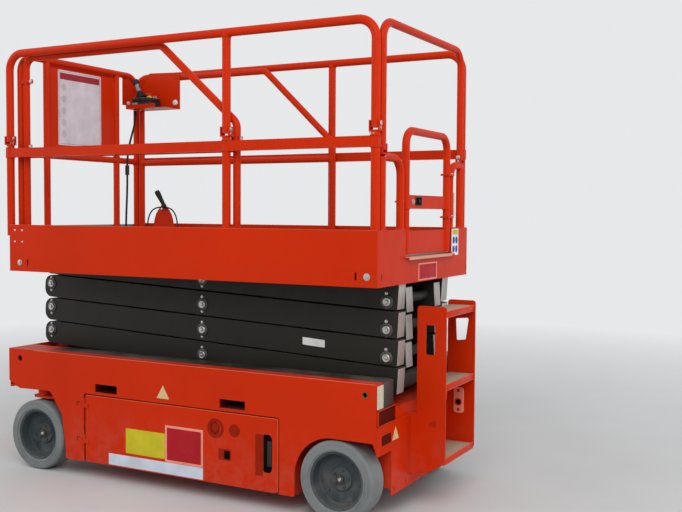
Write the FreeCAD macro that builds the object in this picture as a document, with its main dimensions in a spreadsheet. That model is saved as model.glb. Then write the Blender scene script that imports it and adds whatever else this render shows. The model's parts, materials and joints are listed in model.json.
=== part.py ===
import FreeCAD, Part
import math
import os

from FreeCAD import Placement, Rotation, Vector

# Scissor lift, stowed. Millimetres. +X is forward, +Y the machine's left side, +Z up.
# The origin lies on the floor, in the middle of the machine's length and width.

doc = FreeCAD.newDocument("scissor_lift")
sheet = doc.addObject("Spreadsheet::Sheet", "Sizes")

# Driving sizes: cell alias, value in mm or degrees, what it sizes.
SIZES = [
    ("origin_from_rear", 1054.5, "platform's rear end to the origin"),
    ("platform_length", 2270, "length of the main platform"),
    ("half_width", 560, "half the width over skirts and side plates"),
    ("skirt_low", 1091, "underside of the platform's skirt"),
    ("skirt_high", 1347, "top edge of the skirt, which is the toe board"),
    ("skirt_wall", 5, "thickness of the skirt plates"),
    ("deck_high", 1215, "top of the main deck"),
    ("deck_wall", 4, "thickness of a deck plate"),
    ("deck_gap", 0.5, "running gap under the extension deck"),
    ("rail_radius", 21, "guard rail tube radius, main platform"),
    ("thin_radius", 19, "guard rail tube radius, extension, rear and gate"),
    ("rail_inset", 26, "side rail's centre inside the platform's side"),
    ("inner_inset", 72, "extension side rail's centre inside the platform's side"),
    ("end_inset", 73, "front and rear hoop leg's centre inside the platform's side"),
    ("rail_high", 2289, "centre height of the top rail"),
    ("mid_high", 1745, "centre height of the mid rail"),
    ("mid_tall", 50, "mid rail's height"),
    ("mid_wide", 30, "mid rail's width"),
    ("rail_bend", 90, "bend radius of a hoop at its tube's centre"),
    ("fold_high", 1825, "side hoop's hinge height"),
    ("inner_mid_high", 1735, "centre height of the extension's mid rail"),
    ("inner_fold_high", 1780, "extension hoop's hinge height"),
    ("rear_fold_high", 1725, "rear hoop's hinge height"),
    ("rail_front_in", -14, "front leg's centre ahead of the platform's front end, negated"),
    ("rail_rear_in", 27, "rear leg's centre from the platform's rear end"),
    ("middle_leg", 830, "middle leg's centre from the platform's rear end"),
    ("rear_hoop_in", 18, "rear hoop's centre from the platform's rear end"),
    ("gate_left", 242, "gate's left edge from the middle"),
    ("gate_right", 317, "gate's right edge from the middle"),
    ("gate_high", 1838, "top of the gate"),
    ("gate_bend", 72, "bend radius of the gate's hoop"),
    ("loop_left", 284, "left rear loop's inner leg from the middle"),
    ("loop_right", 344, "right rear loop's inner leg from the middle"),
    ("loop_high", 1679, "centre height of the rear loops"),
    ("extension_length", 1490, "length of the extension deck"),
    ("extension_nose", -4, "extension deck's front edge behind the platform's front end, negated ahead"),
    ("front_hoop_in", 20, "front hoop's centre behind the platform's front end"),
    ("inner_front_in", 64, "extension hoop's front leg behind the platform's front end"),
    ("inner_rear", 800, "extension hoop's rear leg from the platform's rear end"),
    ("inner_rail_high", 2268, "centre height of the extension's top rail"),
    ("brace_start", 1008, "top of the extension hoop's brace behind the platform's front end"),
    ("front_post", 295, "front frame's inner posts from the middle"),
    ("panel_tall", 496, "height of the front panel"),
    ("panel_drop", 21, "front panel's top edge below the top rail's centre"),
    ("tyre_radius", 190.5, "tyre radius"),
    ("tyre_width", 127, "tyre width"),
    ("rim_radius", 138, "rim's outer radius under the tyre"),
    ("front_axle", 191, "front axle behind the platform's front end"),
    ("rear_axle", 207.5, "rear axle from the platform's rear end"),
    ("king_inset", 63.5, "king pin inside the chassis side"),
    ("king_radius", 16, "king pin radius"),
    ("yoke_low", 392, "underside of the steering yoke's top plate"),
    ("yoke_wall", 12, "thickness of the steering yoke's top plate"),
    ("steer_arm", 110, "steering arm's end behind the king pin"),
    ("steer_high", 430, "centre height of the steering cylinder's rod"),
    ("roof_low", 446, "underside of the front wheel house's roof"),
    ("spindle_radius", 22, "spindle radius"),
    ("plate_wall", 8, "side plate's thickness"),
    ("frame_wall", 8, "thickness of a chassis plate"),
    ("front_box_half", 285, "half width of the box between the steered wheels"),
    ("frame_top", 658, "top of the chassis"),
    ("frame_floor", 520, "top of the plate under the arms"),
    ("frame_low", 88, "underside of the chassis"),
    ("frame_nose", 14, "chassis front end ahead of the platform's front end"),
    ("tray_top", 448, "top of the side trays"),
    ("tray_rear", 436, "rear wall of a side tray from the platform's rear end"),
    ("tray_front", 470, "front wall of a side tray behind the platform's front end"),
    ("tray_inside", 330, "inner wall of a side tray from the middle"),
    ("door_rear", 516, "tray door's rear edge from the platform's rear end"),
    ("door_front", 548, "tray door's front edge behind the platform's front end"),
    ("door_gap", 6, "gap round a tray door"),
    ("hinge_gap", 12, "gap at a tray door's hinges"),
    ("pocket_low", 468, "underside of a fork pocket's opening"),
    ("pocket_width", 150, "fork pocket's width"),
    ("pocket_rear", 779, "rear fork pocket's centre from the platform's rear end"),
    ("pocket_pitch", 801, "distance between the fork pockets"),
    ("pin_front", 64, "front pins behind the platform's front end"),
    ("pin_rear", 70, "rear pins from the platform's rear end"),
    ("pin_low", 607, "height of the lowest pins"),
    ("stage_pitch", 133.3, "height of one stowed stage"),
    ("pin_radius", 25, "arm pin radius"),
    ("pin_gap", 0.3, "pin's running gap"),
    ("open_gap", 1.5, "running gap at the rear pins, where the linkage is opened"),
    ("arm_high", 125, "height of an arm tube"),
    ("arm_wide", 80, "width of an arm tube"),
    ("inner_arm", 135, "inner arm's inner face from the middle"),
    ("outer_arm", 230, "outer arm's inner face from the middle"),
    ("arm_end_radius", 50, "rounded end of an arm"),
    ("arm_overhang", 54, "arm's flat end behind its rear pin"),
    ("ladder_plane", 200, "ladder side plate from the middle"),
    ("ladder_reach", 187, "ladder's rear edge behind the platform's rear end"),
    ("ladder_low", 235, "bottom of the ladder"),
    ("ladder_high", 985, "top of the ladder"),
    ("rear_plate_wall", 6, "thickness of the rear plate"),
    ("rear_plate_low", 117, "bottom of the rear plate between the wheels"),
    ("rear_plate_step", 330, "bottom of the rear plate behind the wheels"),
    ("rear_plate_high", 463, "top of the rear plate"),
    ("track_half", 32, "half the height of a slide track, about its pin"),
    ("track_wall", 6, "slide track's wall"),
    ("track_front", 1230, "front end of a slide track from the platform's rear end"),
    ("cylinder_foot", 1500, "lift cylinder's foot from its arm's front pin"),
    ("cylinder_eye", 600, "lift cylinder's eye from its arm's front pin"),
    ("eye_drop", 46, "lift cylinder's eye below its arm's pin line"),
    ("barrel_radius", 55, "lift cylinder's barrel radius"),
    ("rod_radius", 35, "lift cylinder's rod radius"),
]
for row, (alias, value, note) in enumerate(SIZES, 1):
    sheet.set(f"A{row}", note)
    sheet.set(f"B{row}", str(value))
    sheet.setAlias(f"B{row}", alias)
doc.recompute()


class Dim:
    """A size that carries its value and the expression that gives it in the sheet."""

    def __init__(self, text, value):
        self.text = text
        self.value = float(value)

    def __add__(self, other):
        other = dim(other)
        return Dim(f"({self.text} + {other.text})", self.value + other.value)

    def __sub__(self, other):
        other = dim(other)
        return Dim(f"({self.text} - {other.text})", self.value - other.value)

    def __mul__(self, other):
        other = dim(other)
        return Dim(f"({self.text} * {other.text})", self.value * other.value)

    def __truediv__(self, other):
        other = dim(other)
        return Dim(f"({self.text} / {other.text})", self.value / other.value)

    def __radd__(self, other):
        return dim(other) + self

    def __rsub__(self, other):
        return dim(other) - self

    def __rmul__(self, other):
        return dim(other) * self

    def __neg__(self):
        return Dim(f"(0 - {self.text})", -self.value)

    def __float__(self):
        return self.value


def dim(number):
    return number if isinstance(number, Dim) else Dim(f"{number:.6f}", number)


def size(alias):
    return Dim(f"Sizes.{alias}", sheet.get(alias))


def plain(*numbers):
    """The plain values of several sizes."""
    return [float(number) for number in numbers]


def box(x, y, z):
    """A box between two sizes along each axis."""
    part = doc.addObject("Part::Box", "Block")
    sides = zip((x, y, z), ("Length", "Width", "Height"), "xyz")
    for (low, high), side, axis in sides:
        part.setExpression(side, (dim(high) - dim(low)).text)
        part.setExpression(f"Placement.Base.{axis}", dim(low).text)
    return part


TURN = {
    "x": Rotation(Vector(0, 1, 0), 90),
    "y": Rotation(Vector(1, 0, 0), -90),
    "z": Rotation(),
}


def rod(axis, centre, radius, low, high):
    """A round bar along an axis: centre holds its place on the other two axes, in XYZ order."""
    part = doc.addObject("Part::Cylinder", "Rod")
    part.Placement = Placement(Vector(), TURN[axis])
    part.setExpression("Radius", dim(radius).text)
    part.setExpression("Height", (dim(high) - dim(low)).text)
    places = dict(zip([name for name in "xyz" if name != axis], centre))
    places[axis] = low
    for name, place in places.items():
        part.setExpression(f"Placement.Base.{name}", dim(place).text)
    return part


def fuse(parts):
    if len(parts) == 1:
        return parts[0]
    joined = doc.addObject("Part::MultiFuse", "Joined")
    joined.Shapes = parts
    joined.Refine = True
    return joined


def cut(base, tools):
    part = doc.addObject("Part::Cut", "Opened")
    part.Base = base
    part.Tool = fuse(tools)
    part.Refine = True
    return part


def corners(outline):
    """Lines and arcs round a closed outline of (u, v) or (u, v, corner radius)."""
    marks = []
    count = len(outline)
    for index, corner in enumerate(outline):
        here = Vector(*plain(*corner[:2]), 0)
        before = Vector(*plain(*outline[index - 1][:2]), 0)
        after = Vector(*plain(*outline[(index + 1) % count][:2]), 0)
        radius = float(corner[2]) if len(corner) > 2 else 0.0
        marks.append(bend(before, here, after, radius))
    edges = []
    for index, (start, middle, end) in enumerate(marks):
        if middle is not None:
            edges.append(Part.Arc(start, middle, end))
        following = marks[(index + 1) % count][0]
        if end.distanceToPoint(following) > 1e-6:
            edges.append(Part.LineSegment(end, following))
    return edges


def bend(before, here, after, radius):
    """Start, middle and end of the arc that rounds a corner."""
    if radius <= 0:
        return here, None, here
    back = (before - here).normalize()
    on = (after - here).normalize()
    half = back.getAngle(on) / 2
    reach = radius / math.tan(half)
    middle = (back + on).normalize() * (radius / math.sin(half) - radius)
    return here + back * reach, here + middle, here + on * reach


def sketch_in(body, outlines, holes=()):
    """A sketch on the body's own XY plane: closed outlines and round holes (u, v, radius)."""
    plane = [item for item in body.Origin.OriginFeatures if item.Role == "XY_Plane"][0]
    sketch = body.newObject("Sketcher::SketchObject", "Profile")
    sketch.AttachmentSupport = [(plane, "")]
    sketch.MapMode = "FlatFace"
    for outline in outlines:
        sketch.addGeometry(corners(outline))
    for u, v, radius in holes:
        centre = Vector(*plain(u, v), 0)
        sketch.addGeometry(Part.Circle(centre, Vector(0, 0, 1), float(radius)))
    return sketch


SKETCH_TURN = {
    "x": Rotation(Vector(1, 1, 1), 120),
    "y": Rotation(Vector(1, 0, 0), 90),
    "z": Rotation(),
}


def pad(axis, outlines, low, high, holes=()):
    """A plate whose outline is drawn in XZ, YZ or XY and is thick along the third axis."""
    body = doc.addObject("PartDesign::Body", "Plate")
    sketch = sketch_in(body, outlines, holes)
    plate = body.newObject("PartDesign::Pad", "Thickness")
    plate.Profile = sketch
    plate.setExpression("Length", (dim(high) - dim(low)).text)
    body.Placement = Placement(Vector(), SKETCH_TURN[axis])
    start = high if axis == "y" else low
    body.setExpression(f"Placement.Base.{axis}", dim(start).text)
    return body


def turned(outline, place):
    """A body of revolution about an axis along Y: the outline is (radius, y)."""
    body = doc.addObject("PartDesign::Body", "Turned")
    sketch = sketch_in(body, [outline])
    spun = body.newObject("PartDesign::Revolution", "Spun")
    spun.Profile = sketch
    spun.ReferenceAxis = (sketch, ["V_Axis"])
    spun.Angle = 360
    for axis, position in zip("xyz", place):
        body.setExpression(f"Placement.Base.{axis}", dim(position).text)
    return body


def tube(points, radius, bend_radius=0):
    """A round tube along a route whose corners are rounded."""
    route = [Vector(*plain(*point)) for point in points]
    edges = []
    last = route[0]
    for before, here, after in zip(route, route[1:], route[2:]):
        start, middle, end = bend(before, here, after, float(bend_radius))
        edges.append(Part.LineSegment(last, start).toShape())
        if middle is not None:
            edges.append(Part.Arc(start, middle, end).toShape())
        last = end
    edges.append(Part.LineSegment(last, route[-1]).toShape())
    along = route[1] - route[0]
    section = Part.Wire([Part.Circle(route[0], along, float(radius)).toShape()])
    part = doc.addObject("Part::Feature", "Tube")
    part.Shape = Part.Wire(edges).makePipeShell([section], True, False)
    return part


NODES = []


def node(label, part):
    """Name a finished sub-part after its file."""
    part.Label = label
    NODES.append(part)
    return part


def across(side, low, high):
    """The span of a piece on the left (1) or right (-1) of the middle."""
    return (dim(low), dim(high)) if side > 0 else (-dim(high), -dim(low))


SIDES = (("left", 1), ("right", -1))

x_rear = -size("origin_from_rear")
x_front = x_rear + size("platform_length")
half_width = size("half_width")
stub_plane = half_width - 152
floor = size("frame_floor")
frame_top = size("frame_top")
frame_low = size("frame_low")
plate_wall = size("plate_wall")
frame_wall = size("frame_wall")
skin = half_width - plate_wall
x_trays = (x_rear + size("tray_rear"), x_front - size("tray_front"))
frame_front = x_front + size("frame_nose")
x_wheels = {"front": x_front - size("front_axle"), "rear": x_rear + size("rear_axle")}
tyre_radius = size("tyre_radius")
tyre_width = size("tyre_width")
wheel_inside = half_width - tyre_width
pin_front = x_front - size("pin_front")
pin_rear = x_rear + size("pin_rear")
pin_low = size("pin_low")
pitch = size("stage_pitch")
pin_radius = size("pin_radius")
track_web = half_width - 175
web = size("track_wall")
x_pockets = (x_rear + size("pocket_rear"), x_rear + size("pocket_rear") + size("pocket_pitch"))


def slide_track(low, high):
    """A pair of channels that the rear rollers run in, open towards the middle."""
    parts = []
    x = (x_rear + 24, x_rear + size("track_front"))
    for name, side in SIDES:
        parts.append(box(x, across(side, track_web - 55, track_web), (low, low + web)))
        parts.append(box(x, across(side, track_web - 55, track_web), (high - web, high)))
    return parts


def chassis_frame():
    """The floor under the arms with its front plate, side webs, top strips and pivot lugs."""
    parts = [box((x_rear, frame_front), (-skin, skin), (floor - frame_wall, floor))]
    front = (frame_front - frame_wall, frame_front)
    parts.append(box(front, (-skin, skin), (floor - 80, frame_top)))
    for name, side in SIDES:
        web_y = across(side, track_web, track_web + web)
        parts.append(box((x_rear, frame_front), web_y, (floor, frame_top)))
        strip_y = across(side, track_web, skin)
        parts.append(box((x_rear, frame_front), strip_y, (frame_top - frame_wall, frame_top)))
    parts += pivot_lugs()
    return node("chassis_frame", fuse(parts))


def front_box():
    """The box between the steered wheels, with a roof over each wheel."""
    half = size("front_box_half")
    x_low = x_wheels["front"] - 60
    x_high = frame_front - 14
    x_back = x_trays[1]
    under = floor - frame_wall
    parts = [box((x_low, x_high), (-half, half), (frame_low, under))]
    for name, side in SIDES:
        roof_y = across(side, half, skin)
        roof = size("roof_low")
        parts.append(box((x_back, frame_front - frame_wall), roof_y, (roof, roof + frame_wall)))
        wall_y = across(side, half - frame_wall, half)
        parts.append(box((x_back, x_low), wall_y, (250, size("yoke_low") + 4)))
        back_y = across(side, half - frame_wall, size("tray_inside") + 6)
        parts.append(box((x_back, x_back + 6), back_y, (250, under)))
    return node("front_box", fuse(parts))


def side_tray(name, side):
    """A side tray: floor, top, inner wall and end walls, with the fork pockets left free."""
    inside = size("tray_inside")
    top = size("tray_top")
    under = floor - frame_wall
    floor_y = across(side, inside, half_width - 34)
    parts = [
        box(x_trays, floor_y, (frame_low, frame_low + 6)),
        box(x_trays, floor_y, (top - frame_wall, top)),
        box(x_trays, across(side, inside, inside + 6), (frame_low, under)),
    ]
    for wall in (x_trays[0], x_trays[1] - 6):
        parts.append(box((wall, wall + 6), across(side, inside, skin), (frame_low, under)))
    half = size("pocket_width") / 2 + 6
    low = size("pocket_low") - 6
    tunnels = [box((middle - half, middle + half), (-skin, skin), (low, under)) for middle in x_pockets]
    return node(f"side_tray_{name}", cut(fuse(parts), tunnels))


def fork_pocket(end, middle):
    """A channel across the chassis for a fork lift's tine."""
    half = size("pocket_width") / 2
    low = size("pocket_low")
    parts = [box((middle - half - 6, middle + half + 6), (-skin, skin), (low - 6, low))]
    for wall in (middle - half - 6, middle + half):
        parts.append(box((wall, wall + 6), (-skin, skin), (low - 6, floor - frame_wall)))
    return node(f"fork_pocket_{end}", fuse(parts))


def rear_house():
    """The rear plate and the walls and roofs of the rear wheel houses."""
    under = floor - frame_wall
    low = tyre_radius - 40.5
    roof = tyre_radius * 2 + 11
    inner = stub_plane - frame_wall
    parts = [box((x_rear, x_rear + frame_wall), (-stub_plane, stub_plane), (low, under))]
    for name, side in SIDES:
        parts.append(box((x_rear, x_trays[0]), across(side, inner, skin), (roof, roof + frame_wall)))
        parts.append(box((x_rear, x_trays[0]), across(side, inner, stub_plane), (low, under)))
        end_y = across(side, size("tray_inside"), stub_plane)
        parts.append(box((x_trays[0] - 6, x_trays[0]), end_y, (low, under)))
    return node("rear_house", fuse(parts))


def pivot_lugs():
    """The lugs and pins that hold the lowest inner arms at the front."""
    top = 48
    outline = [
        (pin_front - 70, floor - 1),
        (pin_front + 60, floor - 1),
        (pin_front + 60, pin_low + top, 44),
        (pin_front - 48, pin_low + top, 44),
    ]
    parts = []
    inner = size("inner_arm")
    wide = size("arm_wide")
    for name, side in SIDES:
        for low, high in ((inner - 24, inner - 4), (inner + wide + 4, inner + wide + 14)):
            parts.append(pad("y", [outline], *across(side, low, high)))
        span = across(side, inner - 24, inner + wide + 14)
        parts.append(rod("y", (pin_front, pin_low), pin_radius, *span))
    return parts


def side_plate(name, side):
    """The chassis side: wheel arches, the tray door's opening, fork pockets and a round hole."""
    low = frame_low
    door_low_x = x_rear + size("door_rear") - size("door_gap")
    door_high_x = x_front - size("door_front") + size("hinge_gap")
    door_top = size("tray_top") + size("door_gap")
    front = x_wheels["front"]
    rear = x_wheels["rear"]
    arch_top = tyre_radius + 198.5
    outline = [
        (x_rear, frame_top),
        (x_rear, 340),
        (x_rear + 16, arch_top, 10),
        (rear + 218, arch_top, 198),
        (rear + 218, low, 10),
        (door_low_x, low),
        (door_low_x, door_top, 12),
        (door_high_x, door_top, 12),
        (door_high_x, low),
        (front - 214, low, 8),
        (front - 216, 130, 40),
        (front - 189, 321, 60),
        (front - 102, 444, 30),
        (front + 124, 439, 12),
        (frame_front, 477, 12),
        (frame_front, frame_top),
    ]
    half = size("pocket_width") / 2
    pockets = []
    for middle in x_pockets:
        pockets.append([
            (middle - half, size("pocket_low")),
            (middle + half, size("pocket_low")),
            (middle + half, floor - 8),
            (middle - half, floor - 8),
        ])
    holes = [(pin_front - 5, pin_low, 16), (x_rear + 58, pin_low, 11)]
    span = across(side, half_width - plate_wall, half_width)
    plate = pad("y", [outline] + pockets, *span, holes=holes)
    return node(f"side_plate_{name}", fuse([plate] + hinge_knuckles(side, False)))


HINGE_HEIGHTS = (402, 212)


def hinge_knuckles(side, on_door):
    """Half of each door hinge: the door's knuckle is the lower one."""
    axis_x = x_front - size("door_front") + size("hinge_gap") / 2
    axis_y = half_width + 1
    leaf = 28
    parts = []
    for height in HINGE_HEIGHTS:
        low, high = (height - 24, height - 0.3) if on_door else (height, height + 24)
        centre = (axis_x, axis_y if side > 0 else -axis_y)
        parts.append(rod("z", centre, 5, low, high))
        x = (axis_x - leaf, axis_x) if on_door else (axis_x, axis_x + leaf)
        parts.append(box(x, across(side, half_width, half_width + 3), (low, high)))
    return parts


def tray_door(name, side):
    """A tray door: a folded pan with a handle slot and round and square recesses."""
    low_x = x_rear + size("door_rear")
    high_x = x_front - size("door_front")
    low, high = frame_low + 2, size("tray_top")
    wall = 5
    outline = [(low_x, low, 20), (high_x, low, 20), (high_x, high, 10), (low_x, high, 10)]
    slot = [
        (low_x + 33, 181, 24),
        (low_x + 90, 181, 24),
        (low_x + 90, 367, 24),
        (low_x + 33, 367, 24),
    ]
    holes = [(low_x + 370, 364, 34), (low_x + 239, 364, 22)]
    face = pad("y", [outline, slot], *across(side, half_width - wall, half_width), holes=holes)
    parts = [face]
    rim = across(side, half_width - 28, half_width - wall)
    parts.append(box((low_x + 20, high_x - 20), rim, (low, low + wall)))
    parts.append(box((low_x + 12, high_x - 12), rim, (high - wall, high)))
    for wall_x in (low_x, high_x - wall):
        parts.append(box((wall_x, wall_x + wall), rim, (low + 20, high - 12)))
    backing = across(side, half_width - 12, half_width - wall)
    parts.append(box((low_x + 199, low_x + 414), backing, (322, 406)))
    return node(f"tray_door_{name}", fuse(parts + hinge_knuckles(side, True)))


def rear_plate():
    """The plate across the chassis rear end, narrower between the wheels."""
    outline = [
        (-half_width, size("rear_plate_step")),
        (-stub_plane, size("rear_plate_step")),
        (-stub_plane, size("rear_plate_low")),
        (stub_plane, size("rear_plate_low")),
        (stub_plane, size("rear_plate_step")),
        (half_width, size("rear_plate_step")),
        (half_width, size("rear_plate_high")),
        (-half_width, size("rear_plate_high")),
    ]
    return node("rear_plate", pad("x", [outline], x_rear - size("rear_plate_wall"), x_rear - 0.3))


def ladder():
    plane = size("ladder_plane")
    low, high = size("ladder_low"), size("ladder_high")
    rear = x_rear - size("ladder_reach")
    front = x_rear - 40
    foot = x_rear - size("rear_plate_wall") - 0.3
    plate_high = size("rear_plate_high")
    wall = 8
    outline = [
        (rear, low + 6, 14),
        (rear, high, 14),
        (front, high, 14),
        (front, plate_high + 6),
        (foot, plate_high),
        (foot, low - 70),
        (rear + 80, low - 44, 30),
    ]
    windows = {
        "left": [
            (rear + 56, high - 231, 6),
            (rear + 56, high - 90, 6),
            (rear + 104, high - 90, 6),
            (rear + 104, high - 231, 6),
        ],
        "right": [
            (rear + 49, high - 201, 8),
            (rear + 34, high - 89, 8),
            (rear + 105, high - 96, 8),
            (rear + 99, high - 208, 8),
        ],
    }
    notch = [(rear + 50, low + 172, 4), (rear + 47, low + 211, 4), (rear + 101, low + 177, 4)]
    parts = []
    for name, side in SIDES:
        cuts = [windows[name]] + ([notch] if name == "left" else [])
        parts.append(pad("y", [outline] + cuts, *across(side, plane - wall, plane)))
    for tread, reach in ((258, foot), (612, rear + 132), (960, rear + 132)):
        parts.append(box((rear + 4, reach), (-plane + 1, plane - 1), (tread - 26, tread)))
    return node("ladder", fuse(parts))


def blocks():
    """The battery pack and the pump unit, which lie behind the tray doors."""
    trays = (("battery_pack", -1, 640, 1180), ("pump_unit", 1, 700, 1480))
    for label, side, low, high in trays:
        span = across(side, size("tray_inside") + 10, half_width - 44)
        x = (x_rear + low, x_rear + high)
        node(label, box(x, span, (frame_low + 6.3, 356)))


def king_housings():
    """The king pin housings under the roof of each front wheel house."""
    centre = x_wheels["front"]
    king = half_width - size("king_inset")
    low, high = size("yoke_low") + size("yoke_wall") + 2, size("roof_low")
    parts = []
    bores = []
    for name, side in SIDES:
        y = king if side > 0 else -king
        parts.append(rod("z", (centre, y), 34, low, high))
        parts.append(box((centre - 90, centre + 90), across(side, 420, 428), (low + 12, high)))
        parts.append(box((centre - 5, centre + 5), across(side, 420, king), (low + 12, high)))
        bores.append(rod("z", (centre, y), size("king_radius") + 0.3, low - 5, high + 5))
    return node("king_housings", cut(fuse(parts), bores))


def knuckle(name, side):
    """A steering knuckle: king pin, yoke with its steering arm, and wheel spindle."""
    centre = x_wheels["front"]
    king = half_width - size("king_inset")
    y = king if side > 0 else -king
    low = size("yoke_low")
    high = low + size("yoke_wall")
    inside = half_width - 148
    arm = centre - size("steer_arm")
    outline = [
        (centre + 58, side * inside, 8),
        (centre + 58, side * (king + 34), 24),
        (centre - 60, side * (king + 34), 20),
        (arm - 14, side * (king + 12), 10),
        (arm - 14, side * (king - 14), 10),
        (centre - 70, side * inside, 20),
    ]
    web = [
        (centre - 40, tyre_radius - 46, 40),
        (centre + 40, tyre_radius - 46, 40),
        (centre + 56, low + 1),
        (centre - 56, low + 1),
    ]
    parts = [pad("z", [outline], low, high)]
    parts.append(pad("y", [web], *across(side, inside, inside + 14)))
    parts.append(rod("z", (centre, y), size("king_radius"), low + 2, size("roof_low") - 2))
    place = (centre, tyre_radius)
    parts.append(rod("y", place, size("spindle_radius"), *across(side, inside, half_width - 62)))
    parts.append(rod("y", place, 40, *across(side, inside, wheel_inside + 4)))
    return node(f"knuckle_{name}", fuse(parts))


def steering_cylinder():
    """The steering cylinder and its rod, whose flat ends lie on the steering arms."""
    centre = x_wheels["front"] - size("steer_arm")
    height = size("steer_high")
    barrel = [rod("y", (centre, height), 27, -150, 150)]
    for name, side in SIDES:
        barrel.append(box((centre - 14, centre + 50), across(side, 100, 118), (height - 16, height + 16)))
    barrel = cut(fuse(barrel), [rod("y", (centre, height), 12.3, -160, 160)])
    node("steer_cylinder", barrel)
    king = half_width - size("king_inset")
    low = size("yoke_low") + size("yoke_wall") + 0.4
    moving = [rod("y", (centre, height), 12, -340, 340)]
    for name, side in SIDES:
        moving.append(box((centre - 12, centre + 12), across(side, 326, 352), (low, height + 12)))
        moving.append(box((centre - 8, centre + 8), across(side, 350, king + 10), (low, low + 10)))
    node("steer_rod", fuse(moving))


def rear_stubs():
    """The rear axle: a spindle for each wheel on the wheel housing."""
    parts = []
    place = (x_wheels["rear"], tyre_radius)
    for name, side in SIDES:
        parts.append(rod("y", place, 62, *across(side, stub_plane, stub_plane + 16)))
        parts.append(rod("y", place, size("spindle_radius"), *across(side, stub_plane + 16, half_width - 62)))
    return node("rear_stubs", fuse(parts))


def wheel(end, name, side):
    """A solid tyre with a shoulder step on a dished rim with a hub."""
    place = (x_wheels[end], 0, tyre_radius)
    out = tyre_radius
    rim = size("rim_radius")
    bore = size("spindle_radius") + 0.3
    y_in = wheel_inside
    y_out = half_width
    tyre = [
        (rim, y_in + 4),
        (rim + 30, y_in, 8),
        (out - 8, y_in, 6),
        (out, y_in + 10, 8),
        (out, y_out - 10, 8),
        (out - 8, y_out, 6),
        (rim + 10, y_out, 6),
        (rim, y_out - 8),
    ]
    disc = [
        (bore, y_in + 10),
        (58, y_in + 10),
        (62, y_in + 40, 6),
        (100, y_in + 46, 10),
        (118, y_in + 14, 8),
        (rim, y_in + 8),
        (rim, y_out - 12),
        (rim - 12, y_out - 12, 3),
        (rim - 16, y_in + 56, 12),
        (60, y_in + 52, 6),
        (50, y_in + 66, 4),
        (bore, y_in + 66),
    ]
    for label, outline in (("tyre", tyre), ("rim", disc)):
        shaped = [(corner[0], corner[1] * side, *corner[2:]) for corner in outline]
        node(f"{label}_{end}_{name}", turned(shaped, place))


def arm_place(level_front, level_rear):
    """Pin positions of an arm that runs between two pin levels."""
    front = Vector(*plain(pin_front, pin_low + pitch * level_front), 0)
    rear = Vector(*plain(pin_rear, pin_low + pitch * level_rear), 0)
    return front, rear


def arm_outline(front, rear, front_shift, rear_shift, rounded_rear):
    """Side view of an arm tube: round at its front pin, flat or round behind its rear pin."""
    half = float(size("arm_high")) / 2
    nose = float(size("arm_end_radius"))
    tail = float(size("arm_overhang"))
    along = (front - rear).normalize()
    up = Vector(-along.y, along.x, 0)
    ahead = front + along * nose
    behind = rear - along * (nose if rounded_rear else tail)
    curve = nose - 2
    marks = [
        (behind + up * (rear_shift + half), curve if rounded_rear else 3),
        (ahead + up * (front_shift + half), curve),
        (ahead + up * (front_shift - half), curve),
        (behind + up * (rear_shift - half), curve if rounded_rear else 3),
    ]
    return [(point.x, point.y, radius) for point, radius in marks]


def point_on(front, rear, distance):
    along = (rear - front).normalize()
    return front + along * distance


STAGES = (1, 2, 3, 4)
OUTER_FRONT_SHIFT = -15
OUTER_REAR_SHIFT = 27.5


def inner_arms(stage):
    """A frame of two arms inside the outer pair, with its rear shaft and a cross tube."""
    front, rear = arm_place(stage - 1, stage)
    middle = (front + rear) * 0.5
    inside = size("inner_arm")
    outside = inside + size("arm_wide")
    outline = arm_outline(front, rear, 0, 0, stage == STAGES[-1])
    hole = pin_radius + size("pin_gap")
    holes = [(front.x, front.y, hole), (middle.x, middle.y, hole)]
    parts = []
    for name, side in SIDES:
        parts.append(pad("y", [outline], *across(side, inside, outside), holes=holes))
    reach = size("outer_arm") + size("arm_wide") - 2
    if stage == STAGES[-1]:
        reach = track_web - 6
        for name, side in SIDES:
            parts.append(rod("y", (rear.x, rear.y), 25.6, *across(side, track_web - 46, reach)))
    parts.append(rod("y", (rear.x, rear.y), pin_radius, -reach, reach))
    cross = point_on(front, rear, 250)
    parts.append(rod("y", (cross.x, cross.y), 34, -(inside + 1), inside + 1))
    if stage == 1:
        foot = point_on(front, rear, float(size("cylinder_foot")))
        parts.append(rod("y", (foot.x, foot.y), 30, -(inside + 1), inside + 1))
    if stage == 2:
        parts += eye_lugs(front, rear, inside)
    return node(f"inner_arms_{stage}", fuse(parts))


def eye_lugs(front, rear, inside):
    """The cross tube and lugs above the lift cylinder's eye."""
    eye = point_on(front, rear, float(size("cylinder_eye")))
    drop = float(size("eye_drop"))
    parts = [rod("y", (eye.x - 50, eye.y + 30), 30, -(inside + 1), inside + 1)]
    outline = [
        (eye.x - 80, eye.y + 44, 10),
        (eye.x - 26, eye.y - drop - 24, 22),
        (eye.x + 26, eye.y - drop - 24, 22),
        (eye.x + 40, eye.y + 40, 10),
    ]
    for name, side in SIDES:
        parts.append(pad("y", [outline], *across(side, 44, 60)))
        parts.append(rod("y", (eye.x, eye.y - drop), 20, *across(side, 38, 66)))
    return parts


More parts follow.
